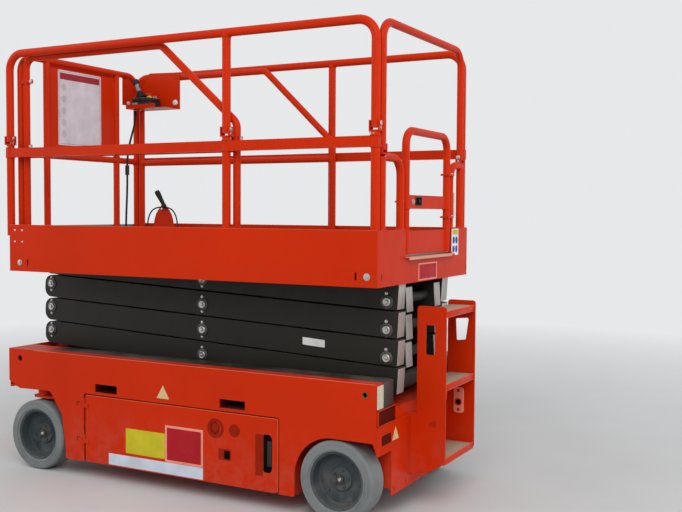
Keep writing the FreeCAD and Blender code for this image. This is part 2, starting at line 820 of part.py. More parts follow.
def outer_arms(stage):
    """A pair of outer arms joined by their front shaft, with a short pin at each centre."""
    front, rear = arm_place(stage, stage - 1)
    middle = (front + rear) * 0.5
    inside = size("outer_arm")
    outside = inside + size("arm_wide")
    outline = arm_outline(front, rear, OUTER_FRONT_SHIFT, OUTER_REAR_SHIFT, False)
    holes = [] if stage == 1 else [(rear.x, rear.y, pin_radius + size("open_gap"))]
    parts = []
    for name, side in SIDES:
        parts.append(pad("y", [outline], *across(side, inside, outside), holes=holes))
        span = across(side, size("inner_arm") - 4, outside + 4)
        parts.append(rod("y", (middle.x, middle.y), pin_radius, *span))
    reach = outside + (30 if stage == STAGES[-1] else 4)
    parts.append(rod("y", (front.x, front.y), pin_radius, -reach, reach))
    if stage == 1:
        reach = track_web - 6
        parts.append(rod("y", (rear.x, rear.y), pin_radius, -reach, reach))
        parts.append(rod("y", (rear.x, rear.y), 40, -325, 325))
        for name, side in SIDES:
            parts.append(rod("y", (rear.x, rear.y), 25.6, *across(side, track_web - 46, reach)))
    return node(f"outer_arms_{stage}", fuse(parts))


def lift_cylinder():
    """The barrel turns on the lowest inner arms, and the rod's eye lies at the second ones."""
    low_front, low_rear = arm_place(0, 1)
    foot = point_on(low_front, low_rear, float(size("cylinder_foot")))
    high_front, high_rear = arm_place(1, 2)
    eye = point_on(high_front, high_rear, float(size("cylinder_eye")))
    eye = eye - Vector(0, float(size("eye_drop")), 0)
    length = foot.distanceToPoint(eye)
    angle = math.degrees(math.atan2(eye.y - foot.y, eye.x - foot.x))
    place = Placement(Vector(foot.x, 0, foot.y), Rotation(Vector(0, 1, 0), 90 - angle))
    barrel = float(size("barrel_radius"))
    rod_radius = float(size("rod_radius"))
    end = length - 110
    tube_part = Part.makeCylinder(barrel, end - 40, Vector(0, 0, 40))
    gland = Part.makeCylinder(barrel + 6, 60, Vector(0, 0, end - 60))
    eye_part = Part.makeCylinder(54, 96, Vector(0, -48, 0), Vector(0, 1, 0))
    solid = tube_part.fuse([gland, eye_part])
    bore = Part.makeCylinder(30.3, 120, Vector(0, -60, 0), Vector(0, 1, 0))
    inner = Part.makeCylinder(rod_radius + 0.3, end, Vector(0, 0, 60))
    part = doc.addObject("Part::Feature", "Barrel")
    part.Shape = solid.cut([bore, inner]).removeSplitter()
    part.Placement = place
    node("lift_barrel", part)
    ram = Part.makeCylinder(rod_radius, length - 30 - 70, Vector(0, 0, 70))
    head = Part.makeCylinder(38, 72, Vector(0, -36, length), Vector(0, 1, 0))
    hole = Part.makeCylinder(20.5, 80, Vector(0, -40, length), Vector(0, 1, 0))
    part = doc.addObject("Part::Feature", "Ram")
    part.Shape = ram.fuse(head).cut(hole).removeSplitter()
    part.Placement = place
    node("lift_rod", part)


deck = size("deck_high")
deck_under = deck - size("deck_wall")
rail = size("rail_radius")
thin = size("thin_radius")
rail_plane = half_width - size("rail_inset")
inner_plane = half_width - size("inner_inset")
end_plane = half_width - size("end_inset")
rail_high = size("rail_high")
mid_high = size("mid_high")
bend_radius = size("rail_bend")
skirt_high = size("skirt_high")
fold = size("fold_high")
inner_fold = size("inner_fold_high")
rear_fold = size("rear_fold_high")
x_rear_hoop = x_rear + size("rear_hoop_in")
x_legs = (
    x_rear + size("rail_rear_in"),
    x_rear + size("middle_leg"),
    x_front - size("rail_front_in"),
)
x_inner_legs = (x_rear + size("inner_rear"), x_front - size("inner_front_in"))
x_front_hoop = x_front - size("front_hoop_in")
extension_top = deck + size("deck_gap") + size("deck_wall")
inner_mid = size("inner_mid_high")


def platform_deck():
    """The deck plate with its skirts, front sill, rear plate with the gate's gap, and pin lugs."""
    wall = size("skirt_wall")
    low = size("skirt_low")
    skin = half_width - wall
    parts = [box((x_rear, x_front), (-skin, skin), (deck_under, deck))]
    slot = 5
    for name, side in SIDES:
        outline = [(x_rear, low), (x_front, low), (x_front, skirt_high), (x_rear, skirt_high)]
        slots = []
        for x in (x_rear + 110, x_front - 134):
            slots.append([
                (x - slot, low + 31, slot - 1),
                (x + slot, low + 31, slot - 1),
                (x + slot, low + 67, slot - 1),
                (x - slot, low + 67, slot - 1),
            ])
        parts.append(pad("y", [outline] + slots, *across(side, skin, half_width)))
        lug = across(side, size("outer_arm") + size("arm_wide") + 8, size("outer_arm") + size("arm_wide") + 24)
        lug_high = size("pin_low") + pitch * len(STAGES)
        shape = [
            (pin_front - 60, deck_under + 1),
            (pin_front + 50, deck_under + 1),
            (pin_front + 46, lug_high - 46, 44),
            (pin_front - 46, lug_high - 46, 44),
        ]
        hole = [(pin_front, lug_high, pin_radius + size("pin_gap"))]
        parts.append(pad("y", [shape], *lug, holes=hole))
    rear = [
        (-skin, low),
        (skin, low),
        (skin, skirt_high),
        (size("gate_left") + 14, skirt_high),
        (size("gate_left") + 14, deck),
        (-size("gate_right") - 14, deck),
        (-size("gate_right") - 14, skirt_high),
        (-skin, skirt_high),
    ]
    parts.append(pad("x", [rear], x_rear, x_rear + wall))
    parts.append(box((x_front - wall, x_front), (-skin, skin), (deck_under - 40, deck_under)))
    lip = (-size("gate_right") - 10, size("gate_left") + 10)
    parts.append(box((x_rear - 22, x_rear), lip, (deck - 10, deck)))
    return node("platform_deck", fuse(parts))


def platform_tracks():
    """Channels under the deck for the top rollers, hung from the deck by their webs."""
    middle = size("pin_low") + pitch * len(STAGES)
    half = size("track_half")
    parts = slide_track(middle - half, middle + half)
    for name, side in SIDES:
        x = (x_rear + 24, x_rear + size("track_front"))
        parts.append(box(x, across(side, track_web, track_web + web), (middle - half, deck_under)))
    return node("platform_tracks", fuse(parts))


def chassis_tracks():
    return node("chassis_tracks", fuse(slide_track(pin_low - size("track_half"), pin_low + size("track_half"))))


def clevis(axis, place, high, radius):
    """Two ears that hold a folding leg's foot, with the post's head between them."""
    x, y = place
    gap = radius + 0.3
    ear = 4
    reach = radius - 2
    parts = []
    spread, deep = ((gap, gap + ear), (-reach, reach))
    for turn in (1, -1):
        span = spread if turn > 0 else (-spread[1], -spread[0])
        if axis == "x":
            sides = ((x + span[0], x + span[1]), (y + deep[0], y + deep[1]))
        else:
            sides = ((x + deep[0], x + deep[1]), (y + span[0], y + span[1]))
        parts.append(box(*sides, (high - EAR_DROP, high + 13)))
    if axis == "x":
        seat = ((x - gap - ear, x + gap + ear), (y - reach, y + reach))
    else:
        seat = ((x - reach, x + reach), (y - gap - ear, y + gap + ear))
    parts.append(box(*seat, (high - EAR_DROP - 6, high - EAR_DROP)))
    pins = [rod(axis, ((y, high) if axis == "x" else (x, high)), 7.3,
                (x if axis == "x" else y) - gap - ear - 1,
                (x if axis == "x" else y) + gap + ear + 1)]
    return cut(fuse(parts), pins)


EAR_DROP = 30


def fold_pin(axis, x, y, high, radius):
    middle = x if axis == "x" else y
    other = y if axis == "x" else x
    reach = radius + 4
    return rod(axis, (other, high), 7, middle - reach, middle + reach)


def lower_rail(name, side):
    """Fixed half of a main side rail: posts inside the skirt, mid rail and hinge ears."""
    y = rail_plane if side > 0 else -rail_plane
    high = mid_high + size("mid_tall") / 2
    parts = [box(
        (x_legs[0] - rail, x_legs[-1] + rail),
        across(side, rail_plane - size("mid_wide") / 2, rail_plane + size("mid_wide") / 2),
        (high - size("mid_tall"), high),
    )]
    for x in x_legs:
        low = skirt_high - 60 if x is x_legs[-1] else deck
        parts.append(rod("z", (x, y), rail, low, high - 1))
        if side > 0:
            parts.append(rod("z", (x, y), rail, high - 1, fold - EAR_DROP - 5))
            parts.append(clevis("x", (x, y), fold, rail))
    return parts, y


def side_hoop(y, legs, top, radius, foot):
    """A hoop with a leg at each end and any legs between them."""
    parts = [tube([(legs[0], y, foot), (legs[0], y, top), (legs[-1], y, top), (legs[-1], y, foot)], radius, bend_radius)]
    for x in legs[1:-1]:
        parts.append(rod("z", (x, y), radius, foot, top))
    return parts


def main_rails():
    for name, side in SIDES:
        parts, y = lower_rail(name, side)
        if side > 0:
            node("main_rail_left", fuse(parts))
            hoop = side_hoop(y, x_legs, rail_high, rail, fold - rail + 1)
            hoop += [fold_pin("x", x, y, fold, rail) for x in x_legs]
            node("side_hoop_left", fuse(hoop))
        else:
            high = mid_high + size("mid_tall") / 2
            parts += side_hoop(y, x_legs, rail_high, rail, high - 2)
            node("main_rail_right", fuse(parts))


def extension_deck():
    """The sliding deck with its toe plate and the posts' foot plates."""
    half = inner_plane + thin - 2
    low = deck + size("deck_gap")
    nose = x_front - size("extension_nose")
    parts = [box((nose - size("extension_length"), nose), (-half, half), (low, extension_top))]
    toe = x_front_hoop + thin
    parts.append(box((toe, toe + 5), (-end_plane - 18, end_plane + 18), (low, skirt_high - 6)))
    return node("extension_deck", fuse(parts))


def brace_and_legs(y, foot):
    """The extension hoop: front leg, top rail, slanting brace and short rear leg."""
    top = size("inner_rail_high")
    rear_leg, front_leg = x_inner_legs
    start = x_front - size("brace_start")
    shoulder = foot + 95
    route = [(rear_leg, y, foot), (rear_leg, y, shoulder), (start, y, top), (front_leg, y, top), (front_leg, y, foot)]
    return [tube(route, thin, 60)]


def extension_rails():
    for name, side in SIDES:
        y = inner_plane if side > 0 else -inner_plane
        parts = []
        rear_leg, front_leg = x_inner_legs
        parts.append(rod("x", (y, inner_mid), thin, rear_leg, front_leg))
        for x in x_inner_legs:
            parts.append(rod("z", (x, y), thin, extension_top, inner_mid))
        if side > 0:
            for x in x_inner_legs:
                parts.append(clevis("x", (x, y), inner_fold, thin))
            node("extension_rail_left", fuse(parts))
            hoop = brace_and_legs(y, inner_fold - thin + 3)
            hoop += [fold_pin("x", x, y, inner_fold, thin) for x in x_inner_legs]
            node("extension_hoop_left", fuse(hoop))
        else:
            parts += brace_and_legs(y, inner_mid)
            node("extension_rail_right", fuse(parts))


def front_rail():
    """The extension's front hoop, its posts, mid rail and sheet panel."""
    x = x_front_hoop
    foot = extension_top
    route = [(x, -end_plane, foot), (x, -end_plane, rail_high), (x, end_plane, rail_high), (x, end_plane, foot)]
    parts = [tube(route, thin, bend_radius)]
    post = size("front_post")
    parts.append(rod("y", (x, mid_high), thin, -end_plane, end_plane))
    for name, side in SIDES:
        y = post if side > 0 else -post
        parts.append(rod("z", (x, y), thin, foot, rail_high))
    sheet_wall = 3
    panel_high = rail_high - size("panel_drop")
    panel_low = panel_high - size("panel_tall")
    parts.append(box((x - sheet_wall / 2, x + sheet_wall / 2), (-post, post), (panel_low, panel_high)))
    for high in (panel_low, panel_high - sheet_wall):
        parts.append(box((x - 14, x + sheet_wall / 2), (-post, post), (high, high + sheet_wall)))
    return node("front_rail", fuse(parts))


GATE_HINGES = (1400, 1620)


def rear_rails():
    """The fixed rear loops, the folding rear hoop and the entry gate."""
    x = x_rear_hoop
    foot = skirt_high
    loops = []
    for name, side, inner in (("left", 1, size("loop_left")), ("right", -1, size("loop_right"))):
        outer_y = end_plane if side > 0 else -end_plane
        inner_y = inner if side > 0 else -inner
        high = size("loop_high")
        loops.append(tube([(x, outer_y, high), (x, inner_y, high), (x, inner_y, foot)], thin, 80))
        loops.append(rod("z", (x, outer_y), thin, foot, high))
        loops.append(clevis("y", (x, outer_y), rear_fold, thin))
    axis_y = -size("gate_right") + thin
    post_y = -size("loop_right")
    for high in GATE_HINGES:
        plate = box((x - 24, x + 24), (post_y, axis_y + thin + 6), (high, high + 10))
        loops.append(cut(plate, [rod("z", (x, axis_y), thin + 0.3, high - 5, high + 15)]))
    keep = (x - 6, x + thin + 8)
    loops.append(box(keep, (size("gate_left") + 6, size("loop_left")), (1474, 1484)))
    node("rear_loops", fuse(loops))
    base = rear_fold - thin + 3
    route = [(x, -end_plane, base), (x, -end_plane, rail_high), (x, end_plane, rail_high), (x, end_plane, base)]
    hoop = [tube(route, thin, bend_radius)]
    for y in (-end_plane, end_plane):
        hoop.append(fold_pin("y", x, y, rear_fold, thin))
    node("rear_hoop", fuse(hoop))


def entry_gate():
    x = x_rear_hoop
    left = size("gate_left") - thin
    right = -size("gate_right") + thin
    top = size("gate_high") - thin
    toe_low = deck + 12
    route = [(x, right, toe_low), (x, right, top), (x, left, top), (x, left, toe_low)]
    parts = [tube(route, thin, size("gate_bend"))]
    plate = (x - 3, x + 3)
    parts.append(box(plate, (right, left), (toe_low, skirt_high - 6)))
    parts.append(box(plate, (right, left), (1446, 1512)))
    parts.append(box((x - 3, x + 20), (right, left), (1446, 1449)))
    return node("entry_gate", fuse(parts))


def control_station():
    """Guard plate and shelf at the front right corner, the control box and its lever."""
    y = -inner_plane + thin + 3
    x_low, x_high = x_front - 390, x_front - 80
    shelf = size("inner_rail_high") - 202
    guard = [
        (x_low, shelf),
        (x_high, shelf),
        (x_high, shelf + 205, 10),
        (x_high - 75, shelf + 238, 20),
        (x_low, shelf + 230, 10),
    ]
    parts = [pad("y", [guard], y, y + 4)]
    parts.append(box((x_low, x_high), (y, y + 150), (shelf, shelf + 4)))
    parts.append(box((x_low + 80, x_high), (y + 146, y + 150), (shelf, shelf + 22)))
    node("control_shelf", fuse(parts))
    body = box((x_low + 136, x_high - 26), (y + 24, y + 128), (shelf + 4.3, shelf + 74))
    node("control_box", body)
    stick = Part.makeCylinder(15, 120, Vector(0, 0, 0))
    cap = Part.makeCylinder(21, 34, Vector(0, 0, 96))
    boot = Part.makeCone(34, 18, 34, Vector(0, 0, 4))
    base = Vector(*plain(x_high - 66, y + 76, shelf + 74))
    lever = stick.fuse([cap, boot]).removeSplitter()
    lever.Placement = Placement(base, Rotation(Vector(0, 1, 0), 24))
    below = Part.makeBox(200, 200, 60, base - Vector(100, 100, 60))
    part = doc.addObject("Part::Feature", "Lever")
    part.Shape = lever.cut(below)
    node("control_lever", part)


# Route points: from the platform's front end, from the middle, and height.
CABLE_ROUTE = [
    (-92, -392, 2058),
    (-92, -392, 1990),
    (-76, -372, 1900),
    (-60, -354, 1800),
    (-58, -352, 1715),
]
CABLE_LOW_ROUTE = [
    (-58, -352, 1655),
    (-58, -352, 1570),
    (-50, -354, 1460),
    (-46, -352, 1350),
    (-46, -352, 1262),
]
CABLE_RADIUS = 5


def cable_run(route):
    """A tube on straight runs joined by arcs as large as the runs allow."""
    points = [Vector(float(x_front) + x, y, z) for x, y, z in route]
    edges = []
    last = points[0]
    for before, here, after in zip(points, points[1:], points[2:]):
        shorter = min(here.distanceToPoint(before), here.distanceToPoint(after))
        turn = (here - before).getAngle(after - here)
        radius = 0.45 * shorter / math.tan(turn / 2)
        print(f"cable arc radius {radius:.0f} mm")
        start, middle, end = bend(before, here, after, radius)
        edges.append(Part.LineSegment(last, start).toShape())
        edges.append(Part.Arc(start, middle, end).toShape())
        last = end
    edges.append(Part.LineSegment(last, points[-1]).toShape())
    wire = Part.Wire(edges)
    section = Part.Wire([Part.Circle(points[0], points[1] - points[0], CABLE_RADIUS).toShape()])
    solid = wire.makePipeShell([section], True, False)
    expected = math.pi * CABLE_RADIUS ** 2 * wire.Length
    if abs(solid.Volume / expected - 1) > 0.01:
        raise ValueError("the cable's tube doesn't match its route")
    print(f"cable run {wire.Length:.0f} mm")
    return solid


def control_cable():
    """The controller's cable: gland under the shelf, in-line connector, and a socket on the deck."""
    part = doc.addObject("Part::Feature", "Cable")
    part.Shape = Part.makeCompound([cable_run(CABLE_ROUTE), cable_run(CABLE_LOW_ROUTE)])
    node("control_cable", part)
    x, y, z = CABLE_ROUTE[0]
    node("cable_gland", rod("z", (x_front + x, y), 9, z, size("inner_rail_high") - 202))
    x, y, z = CABLE_ROUTE[-1]
    node("cable_connector", rod("z", (x_front + x, y), 13, CABLE_LOW_ROUTE[0][2], z))
    x, y, z = CABLE_LOW_ROUTE[-1]
    socket = [rod("z", (x_front + x, y), 16, extension_top, z)]
    socket.append(box((x_front + x - 30, x_front + x + 30), (y - 24, y + 24), (extension_top, extension_top + 12)))
    node("cable_socket", fuse(socket))


chassis_frame()
front_box()
rear_house()
for end, middle in zip(("rear", "front"), x_pockets):
    fork_pocket(end, middle)
for name, side in SIDES:
    side_tray(name, side)
    side_plate(name, side)
    tray_door(name, side)
    knuckle(name, side)
    for end in x_wheels:
        wheel(end, name, side)
rear_plate()
ladder()
blocks()
king_housings()
steering_cylinder()
rear_stubs()
chassis_tracks()
for stage in STAGES:
    inner_arms(stage)
    outer_arms(stage)
lift_cylinder()
platform_deck()
platform_tracks()
main_rails()
extension_deck()
extension_rails()
front_rail()
rear_rails()
entry_gate()
control_station()
control_cable()

doc.recompute()
for item in doc.Objects:
    for state in ("Invalid", "Error"):
        if state in item.State:
            raise RuntimeError(f"{item.Name} is {state}")
os.makedirs("parts", exist_ok=True)
for part in NODES:
    shape = part.Shape
    if shape.isNull() or not shape.isValid() or not shape.Solids:
        raise RuntimeError(f"{part.Label} has no valid solid")
    shape.exportStep(f"parts/{part.Label}.step")
    print(part.Label, len(shape.Solids), round(shape.Volume / 1e6, 2), len(shape.Faces))
print(len(NODES), "nodes")
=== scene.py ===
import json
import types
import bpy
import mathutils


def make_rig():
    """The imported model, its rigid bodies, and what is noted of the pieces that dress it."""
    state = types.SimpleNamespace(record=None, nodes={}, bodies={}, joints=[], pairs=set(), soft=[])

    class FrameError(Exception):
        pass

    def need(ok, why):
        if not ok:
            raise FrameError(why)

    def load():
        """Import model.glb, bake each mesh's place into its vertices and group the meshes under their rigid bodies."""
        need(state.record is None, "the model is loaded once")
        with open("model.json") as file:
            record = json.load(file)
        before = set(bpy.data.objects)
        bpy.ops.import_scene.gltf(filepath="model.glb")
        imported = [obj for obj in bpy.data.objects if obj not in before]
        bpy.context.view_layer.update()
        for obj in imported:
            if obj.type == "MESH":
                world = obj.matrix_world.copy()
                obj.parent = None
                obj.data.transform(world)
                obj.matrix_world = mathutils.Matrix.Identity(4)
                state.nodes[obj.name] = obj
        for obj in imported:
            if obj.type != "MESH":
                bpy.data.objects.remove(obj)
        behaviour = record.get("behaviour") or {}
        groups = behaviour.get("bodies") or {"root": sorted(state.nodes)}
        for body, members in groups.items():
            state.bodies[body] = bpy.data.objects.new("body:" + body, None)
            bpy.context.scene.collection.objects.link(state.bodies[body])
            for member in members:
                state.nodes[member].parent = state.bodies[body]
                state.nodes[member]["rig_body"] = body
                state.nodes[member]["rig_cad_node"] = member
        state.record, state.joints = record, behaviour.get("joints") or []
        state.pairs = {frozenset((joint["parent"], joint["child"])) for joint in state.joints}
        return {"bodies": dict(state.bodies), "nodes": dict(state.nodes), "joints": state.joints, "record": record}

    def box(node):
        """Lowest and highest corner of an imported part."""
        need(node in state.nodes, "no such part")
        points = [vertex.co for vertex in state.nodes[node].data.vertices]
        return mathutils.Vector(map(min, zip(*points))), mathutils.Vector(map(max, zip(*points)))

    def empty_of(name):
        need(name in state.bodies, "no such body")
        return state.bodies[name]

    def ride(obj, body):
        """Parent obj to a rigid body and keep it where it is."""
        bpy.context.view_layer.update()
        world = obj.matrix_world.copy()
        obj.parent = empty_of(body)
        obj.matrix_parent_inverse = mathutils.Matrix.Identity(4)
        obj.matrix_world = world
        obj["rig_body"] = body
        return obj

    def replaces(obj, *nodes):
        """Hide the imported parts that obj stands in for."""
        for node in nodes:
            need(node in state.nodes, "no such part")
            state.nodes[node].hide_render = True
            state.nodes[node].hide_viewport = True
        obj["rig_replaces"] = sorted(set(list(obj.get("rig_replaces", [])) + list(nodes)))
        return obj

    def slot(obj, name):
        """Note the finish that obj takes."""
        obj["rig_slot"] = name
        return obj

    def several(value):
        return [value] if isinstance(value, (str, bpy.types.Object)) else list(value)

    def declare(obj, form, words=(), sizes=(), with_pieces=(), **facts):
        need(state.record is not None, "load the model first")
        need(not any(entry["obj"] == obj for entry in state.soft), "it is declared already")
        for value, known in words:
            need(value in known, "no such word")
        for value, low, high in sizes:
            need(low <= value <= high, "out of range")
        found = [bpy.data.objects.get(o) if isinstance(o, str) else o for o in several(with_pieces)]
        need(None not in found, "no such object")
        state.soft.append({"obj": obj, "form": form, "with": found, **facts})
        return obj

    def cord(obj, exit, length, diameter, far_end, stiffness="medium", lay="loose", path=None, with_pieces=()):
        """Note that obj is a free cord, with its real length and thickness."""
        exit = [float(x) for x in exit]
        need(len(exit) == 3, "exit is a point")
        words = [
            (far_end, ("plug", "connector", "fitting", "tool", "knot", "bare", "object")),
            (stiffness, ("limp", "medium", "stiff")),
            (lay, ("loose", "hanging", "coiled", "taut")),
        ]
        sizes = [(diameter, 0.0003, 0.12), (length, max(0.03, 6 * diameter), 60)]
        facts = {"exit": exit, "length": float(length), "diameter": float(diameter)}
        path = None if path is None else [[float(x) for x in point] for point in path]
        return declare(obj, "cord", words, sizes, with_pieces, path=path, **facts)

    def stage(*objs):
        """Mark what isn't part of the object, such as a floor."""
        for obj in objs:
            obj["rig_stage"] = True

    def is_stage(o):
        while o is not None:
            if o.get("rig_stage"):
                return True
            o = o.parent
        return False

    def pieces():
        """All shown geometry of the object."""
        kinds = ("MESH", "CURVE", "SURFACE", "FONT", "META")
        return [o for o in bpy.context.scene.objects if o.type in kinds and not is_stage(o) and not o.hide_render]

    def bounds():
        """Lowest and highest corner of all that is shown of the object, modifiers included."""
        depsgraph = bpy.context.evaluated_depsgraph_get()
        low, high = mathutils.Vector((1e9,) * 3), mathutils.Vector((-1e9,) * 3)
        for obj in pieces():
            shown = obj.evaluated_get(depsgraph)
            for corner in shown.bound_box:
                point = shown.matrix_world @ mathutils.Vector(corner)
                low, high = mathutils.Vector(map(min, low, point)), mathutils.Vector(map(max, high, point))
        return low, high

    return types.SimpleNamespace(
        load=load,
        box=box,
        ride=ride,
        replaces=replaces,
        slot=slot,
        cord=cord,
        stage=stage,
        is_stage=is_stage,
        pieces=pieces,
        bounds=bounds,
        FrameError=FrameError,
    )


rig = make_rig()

bl_info = {
    "name": "Scissor Lift",
    "version": (1, 0, 0),
    "blender": (4, 5, 0),
    "location": "3D View > Sidebar > Scissor Lift",
    "description": "Dresses the packed scissor lift with its paint, fittings, cable and stage",
    "category": "Object",
}

import json
import math

import bmesh
import bpy
from bpy.props import FloatProperty, FloatVectorProperty, PointerProperty
from mathutils import Matrix, Vector

# Metres. +X is forward, +Y the machine's left side, +Z up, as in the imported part. Fittings are drawn with
# X from the platform's rear end and moved to their place when a piece is done.
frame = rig.load()
CAD_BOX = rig.bounds()
PLATFORM_LENGTH = 2.27
REAR_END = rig.box("platform_deck")[1][0] - PLATFORM_LENGTH
SIDES = (("left", 1), ("right", -1))
AHEAD, LEFT, UP = (Vector(row) for row in Matrix.Identity(3))

# Places that several pieces share
PLATE_FACE = 0.560
RAIL_LINE = 0.534
HOOP_LINE = 0.488
GATE_LINE = 0.018
HOOP_TUBE = 0.019
SHEET_FACE = 2.2485


def node_box(name):
    """The two corners of a node's box, with X from the platform's rear end."""
    return [Vector(corner) - AHEAD * REAR_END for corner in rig.box(name)]


# Shapes, each returned as a bmesh of its own


def round_edges(bm, edges, width, segments=2):
    if width > 0 and edges:
        bmesh.ops.bevel(
            bm, geom=list(edges), offset=width, offset_type="OFFSET", segments=segments,
            profile=0.5, affect="EDGES", clamp_overlap=True, material=-1,
        )


def slab(first, second, width=0.0, segments=2):
    """A block between two opposite corners, with rounded edges."""
    bm = bmesh.new()
    low, high = [Vector(map(pick, first, second)) for pick in (min, max)]
    bmesh.ops.create_cube(bm, size=1)
    bmesh.ops.scale(bm, vec=high - low, verts=bm.verts)
    bmesh.ops.translate(bm, vec=(low + high) / 2, verts=bm.verts)
    round_edges(bm, bm.edges, width, segments)
    return bm


def stand(bm, place, axis):
    """Turns a shape's +Z along an axis and moves it to its place."""
    turn = Vector(axis).to_track_quat("Z", "Y").to_matrix().to_4x4()
    bmesh.ops.transform(bm, matrix=Matrix.Translation(place) @ turn, verts=bm.verts)
    return bm


def bar(start, end, radius, sides=24, width=0.0):
    """A round bar, or with six sides a nut."""
    start, end = Vector(start), Vector(end)
    bm = bmesh.new()
    bmesh.ops.create_cone(
        bm, cap_ends=True, segments=sides, radius1=radius, radius2=radius, depth=(end - start).length,
    )
    if width:
        rims = [edge for edge in bm.edges if any(len(face.verts) == sides for face in edge.link_faces)]
        round_edges(bm, rims, width)
    return stand(bm, (start + end) / 2, end - start)


def stud(place, axis, low, high, radius, sides=24, width=0.0):
    """A bar between two distances along an axis."""
    place, axis = Vector(place), Vector(axis)
    return bar(place + axis * low, place + axis * high, radius, sides, width)


def turned(profile, place, axis, steps=32):
    """A body of revolution that stands on a place: (radius, distance along the axis)."""
    bm = bmesh.new()
    points = [bm.verts.new((radius, 0, high)) for radius, high in profile]
    edges = [bm.edges.new(pair) for pair in zip(points, points[1:])]
    bmesh.ops.spin(
        bm, geom=points + edges, cent=(0, 0, 0), axis=(0, 0, 1), angle=math.tau,
        steps=steps, use_merge=True,
    )
    bmesh.ops.remove_doubles(bm, verts=bm.verts, dist=1e-5)
    stand(bm, place, axis)
    bmesh.ops.recalc_face_normals(bm, faces=bm.faces)
    return bm


def plate(outline, axis, low, high, width=0.0):
    """A plate: its outline is drawn on the two other axes and pushed along the axis."""
    bm = bmesh.new()
    points = []
    for u, v in outline:
        place = {"x": (low, u, v), "y": (u, low, v), "z": (u, v, low)}[axis]
        points.append(bm.verts.new(place))
    face = bm.faces.new(points)
    push = Vector([high - low if name == axis else 0 for name in "xyz"])
    pushed = bmesh.ops.extrude_face_region(bm, geom=[face])
    moved = [item for item in pushed["geom"] if isinstance(item, bmesh.types.BMVert)]
    bmesh.ops.translate(bm, vec=push, verts=moved)
    bmesh.ops.recalc_face_normals(bm, faces=bm.faces)
    round_edges(bm, bm.edges, width, 1)
    return bm


def label(axis, corners, radius, low, high, width=0.0002):
    """A plate with round corners, from the corners (u0, v0, u1, v1) of its rectangle."""
    u0, v0, u1, v1 = corners
    steps = 5
    marks = []
    centres = ((u1 - radius, v1 - radius), (u0 + radius, v1 - radius),
               (u0 + radius, v0 + radius), (u1 - radius, v0 + radius))
    for quarter, (cu, cv) in enumerate(centres):
        for step in range(steps + 1):
            angle = (quarter + step / steps) * math.pi / 2
            marks.append((cu + radius * math.cos(angle), cv + radius * math.sin(angle)))
    return plate(marks, axis, low, high, width)


def bolt(place, axis, radius, high):
    """A hexagon bolt head with its washer, standing on a surface."""
    return [
        stud(place, axis, 0, high, radius, 6, radius * 0.12),
        stud(place, axis, 0, radius * 0.22, radius * 1.45, 20, radius * 0.06),
    ]


def ring(place, axis, inner, outer, high):
    """A flat ring with softened edges."""
    soft = min(high, outer - inner) * 0.2
    profile = [(inner, 0), (inner, high - soft), (inner + soft, high), (outer - soft, high),
               (outer, high - soft), (outer, 0), (inner, 0)]
    return turned(profile, place, axis)


def bead(place, axis, radius, wide=0.004):
    """A weld bead round a tube where it meets another part."""
    profile = [(radius - 0.001, -0.001), (radius + wide, 0.0), (radius + wide * 0.7, wide * 0.8),
               (radius - 0.001, wide * 1.5)]
    return turned(profile, place, axis, 24)


def smooth_line(name, points, radius, sides, steps):
    """A round line that runs smoothly near its points, as a curve."""
    curve = bpy.data.curves.new(name, "CURVE")
    curve.dimensions = "3D"
    curve.bevel_depth = radius
    curve.bevel_resolution = sides
    curve.use_fill_caps = True
    spline = curve.splines.new("NURBS")
    spline.points.add(len(points) - 1)
    for mark, point in zip(spline.points, points):
        mark.co = (*point, 1)
    spline.order_u = 3
    spline.use_endpoint_u = True
    spline.resolution_u = steps
    return curve


def wire(points, radius, closed=False, sides=3):
    """A bent round wire, or a closed ring of it."""
    curve = smooth_line("wire", points, radius, sides, 6)
    curve.splines[0].use_endpoint_u = not closed
    curve.splines[0].use_cyclic_u = closed
    holder = bpy.data.objects.new("wire", curve)
    mesh = bpy.data.meshes.new_from_object(holder)
    bm = bmesh.new()
    bm.from_mesh(mesh)
    bpy.data.meshes.remove(mesh)
    bpy.data.objects.remove(holder)
    bpy.data.curves.remove(curve)
    return bm


class Piece:
    """Gathers shapes with their finishes into one object that rides on a body."""

    sharp_angle = math.radians(35)

    def __init__(self, name, body, slot, finish):
        self.name, self.body, self.slot = name, body, slot
        self.finishes = [finish]
        self.bm = bmesh.new()

    def add(self, shapes, finish=None):
        """Adds a shape, or a list of them, in a finish or else in the piece's own one."""
        finish = finish or self.finishes[0]
        if finish not in self.finishes:
            self.finishes.append(finish)
        for shape in shapes if isinstance(shapes, list) else [shapes]:
            for face in shape.faces:
                face.material_index = self.finishes.index(finish)
            mesh = bpy.data.meshes.new("shape")
            shape.to_mesh(mesh)
            shape.free()
            self.bm.from_mesh(mesh)
            bpy.data.meshes.remove(mesh)

    def done(self):
        bmesh.ops.translate(self.bm, vec=AHEAD * REAR_END, verts=self.bm.verts)
        mesh = bpy.data.meshes.new(self.name)
        self.bm.to_mesh(mesh)
        self.bm.free()
        for finish in self.finishes:
            mesh.materials.append(FINISHES[finish])
        mesh.shade_smooth()
        mesh.set_sharp_from_angle(angle=self.sharp_angle)
        piece = bpy.data.objects.new(self.name, mesh)
        bpy.context.scene.collection.objects.link(piece)
        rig.ride(piece, self.body)
        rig.slot(piece, self.slot)
        return piece


# Finishes

FINISHES = {}


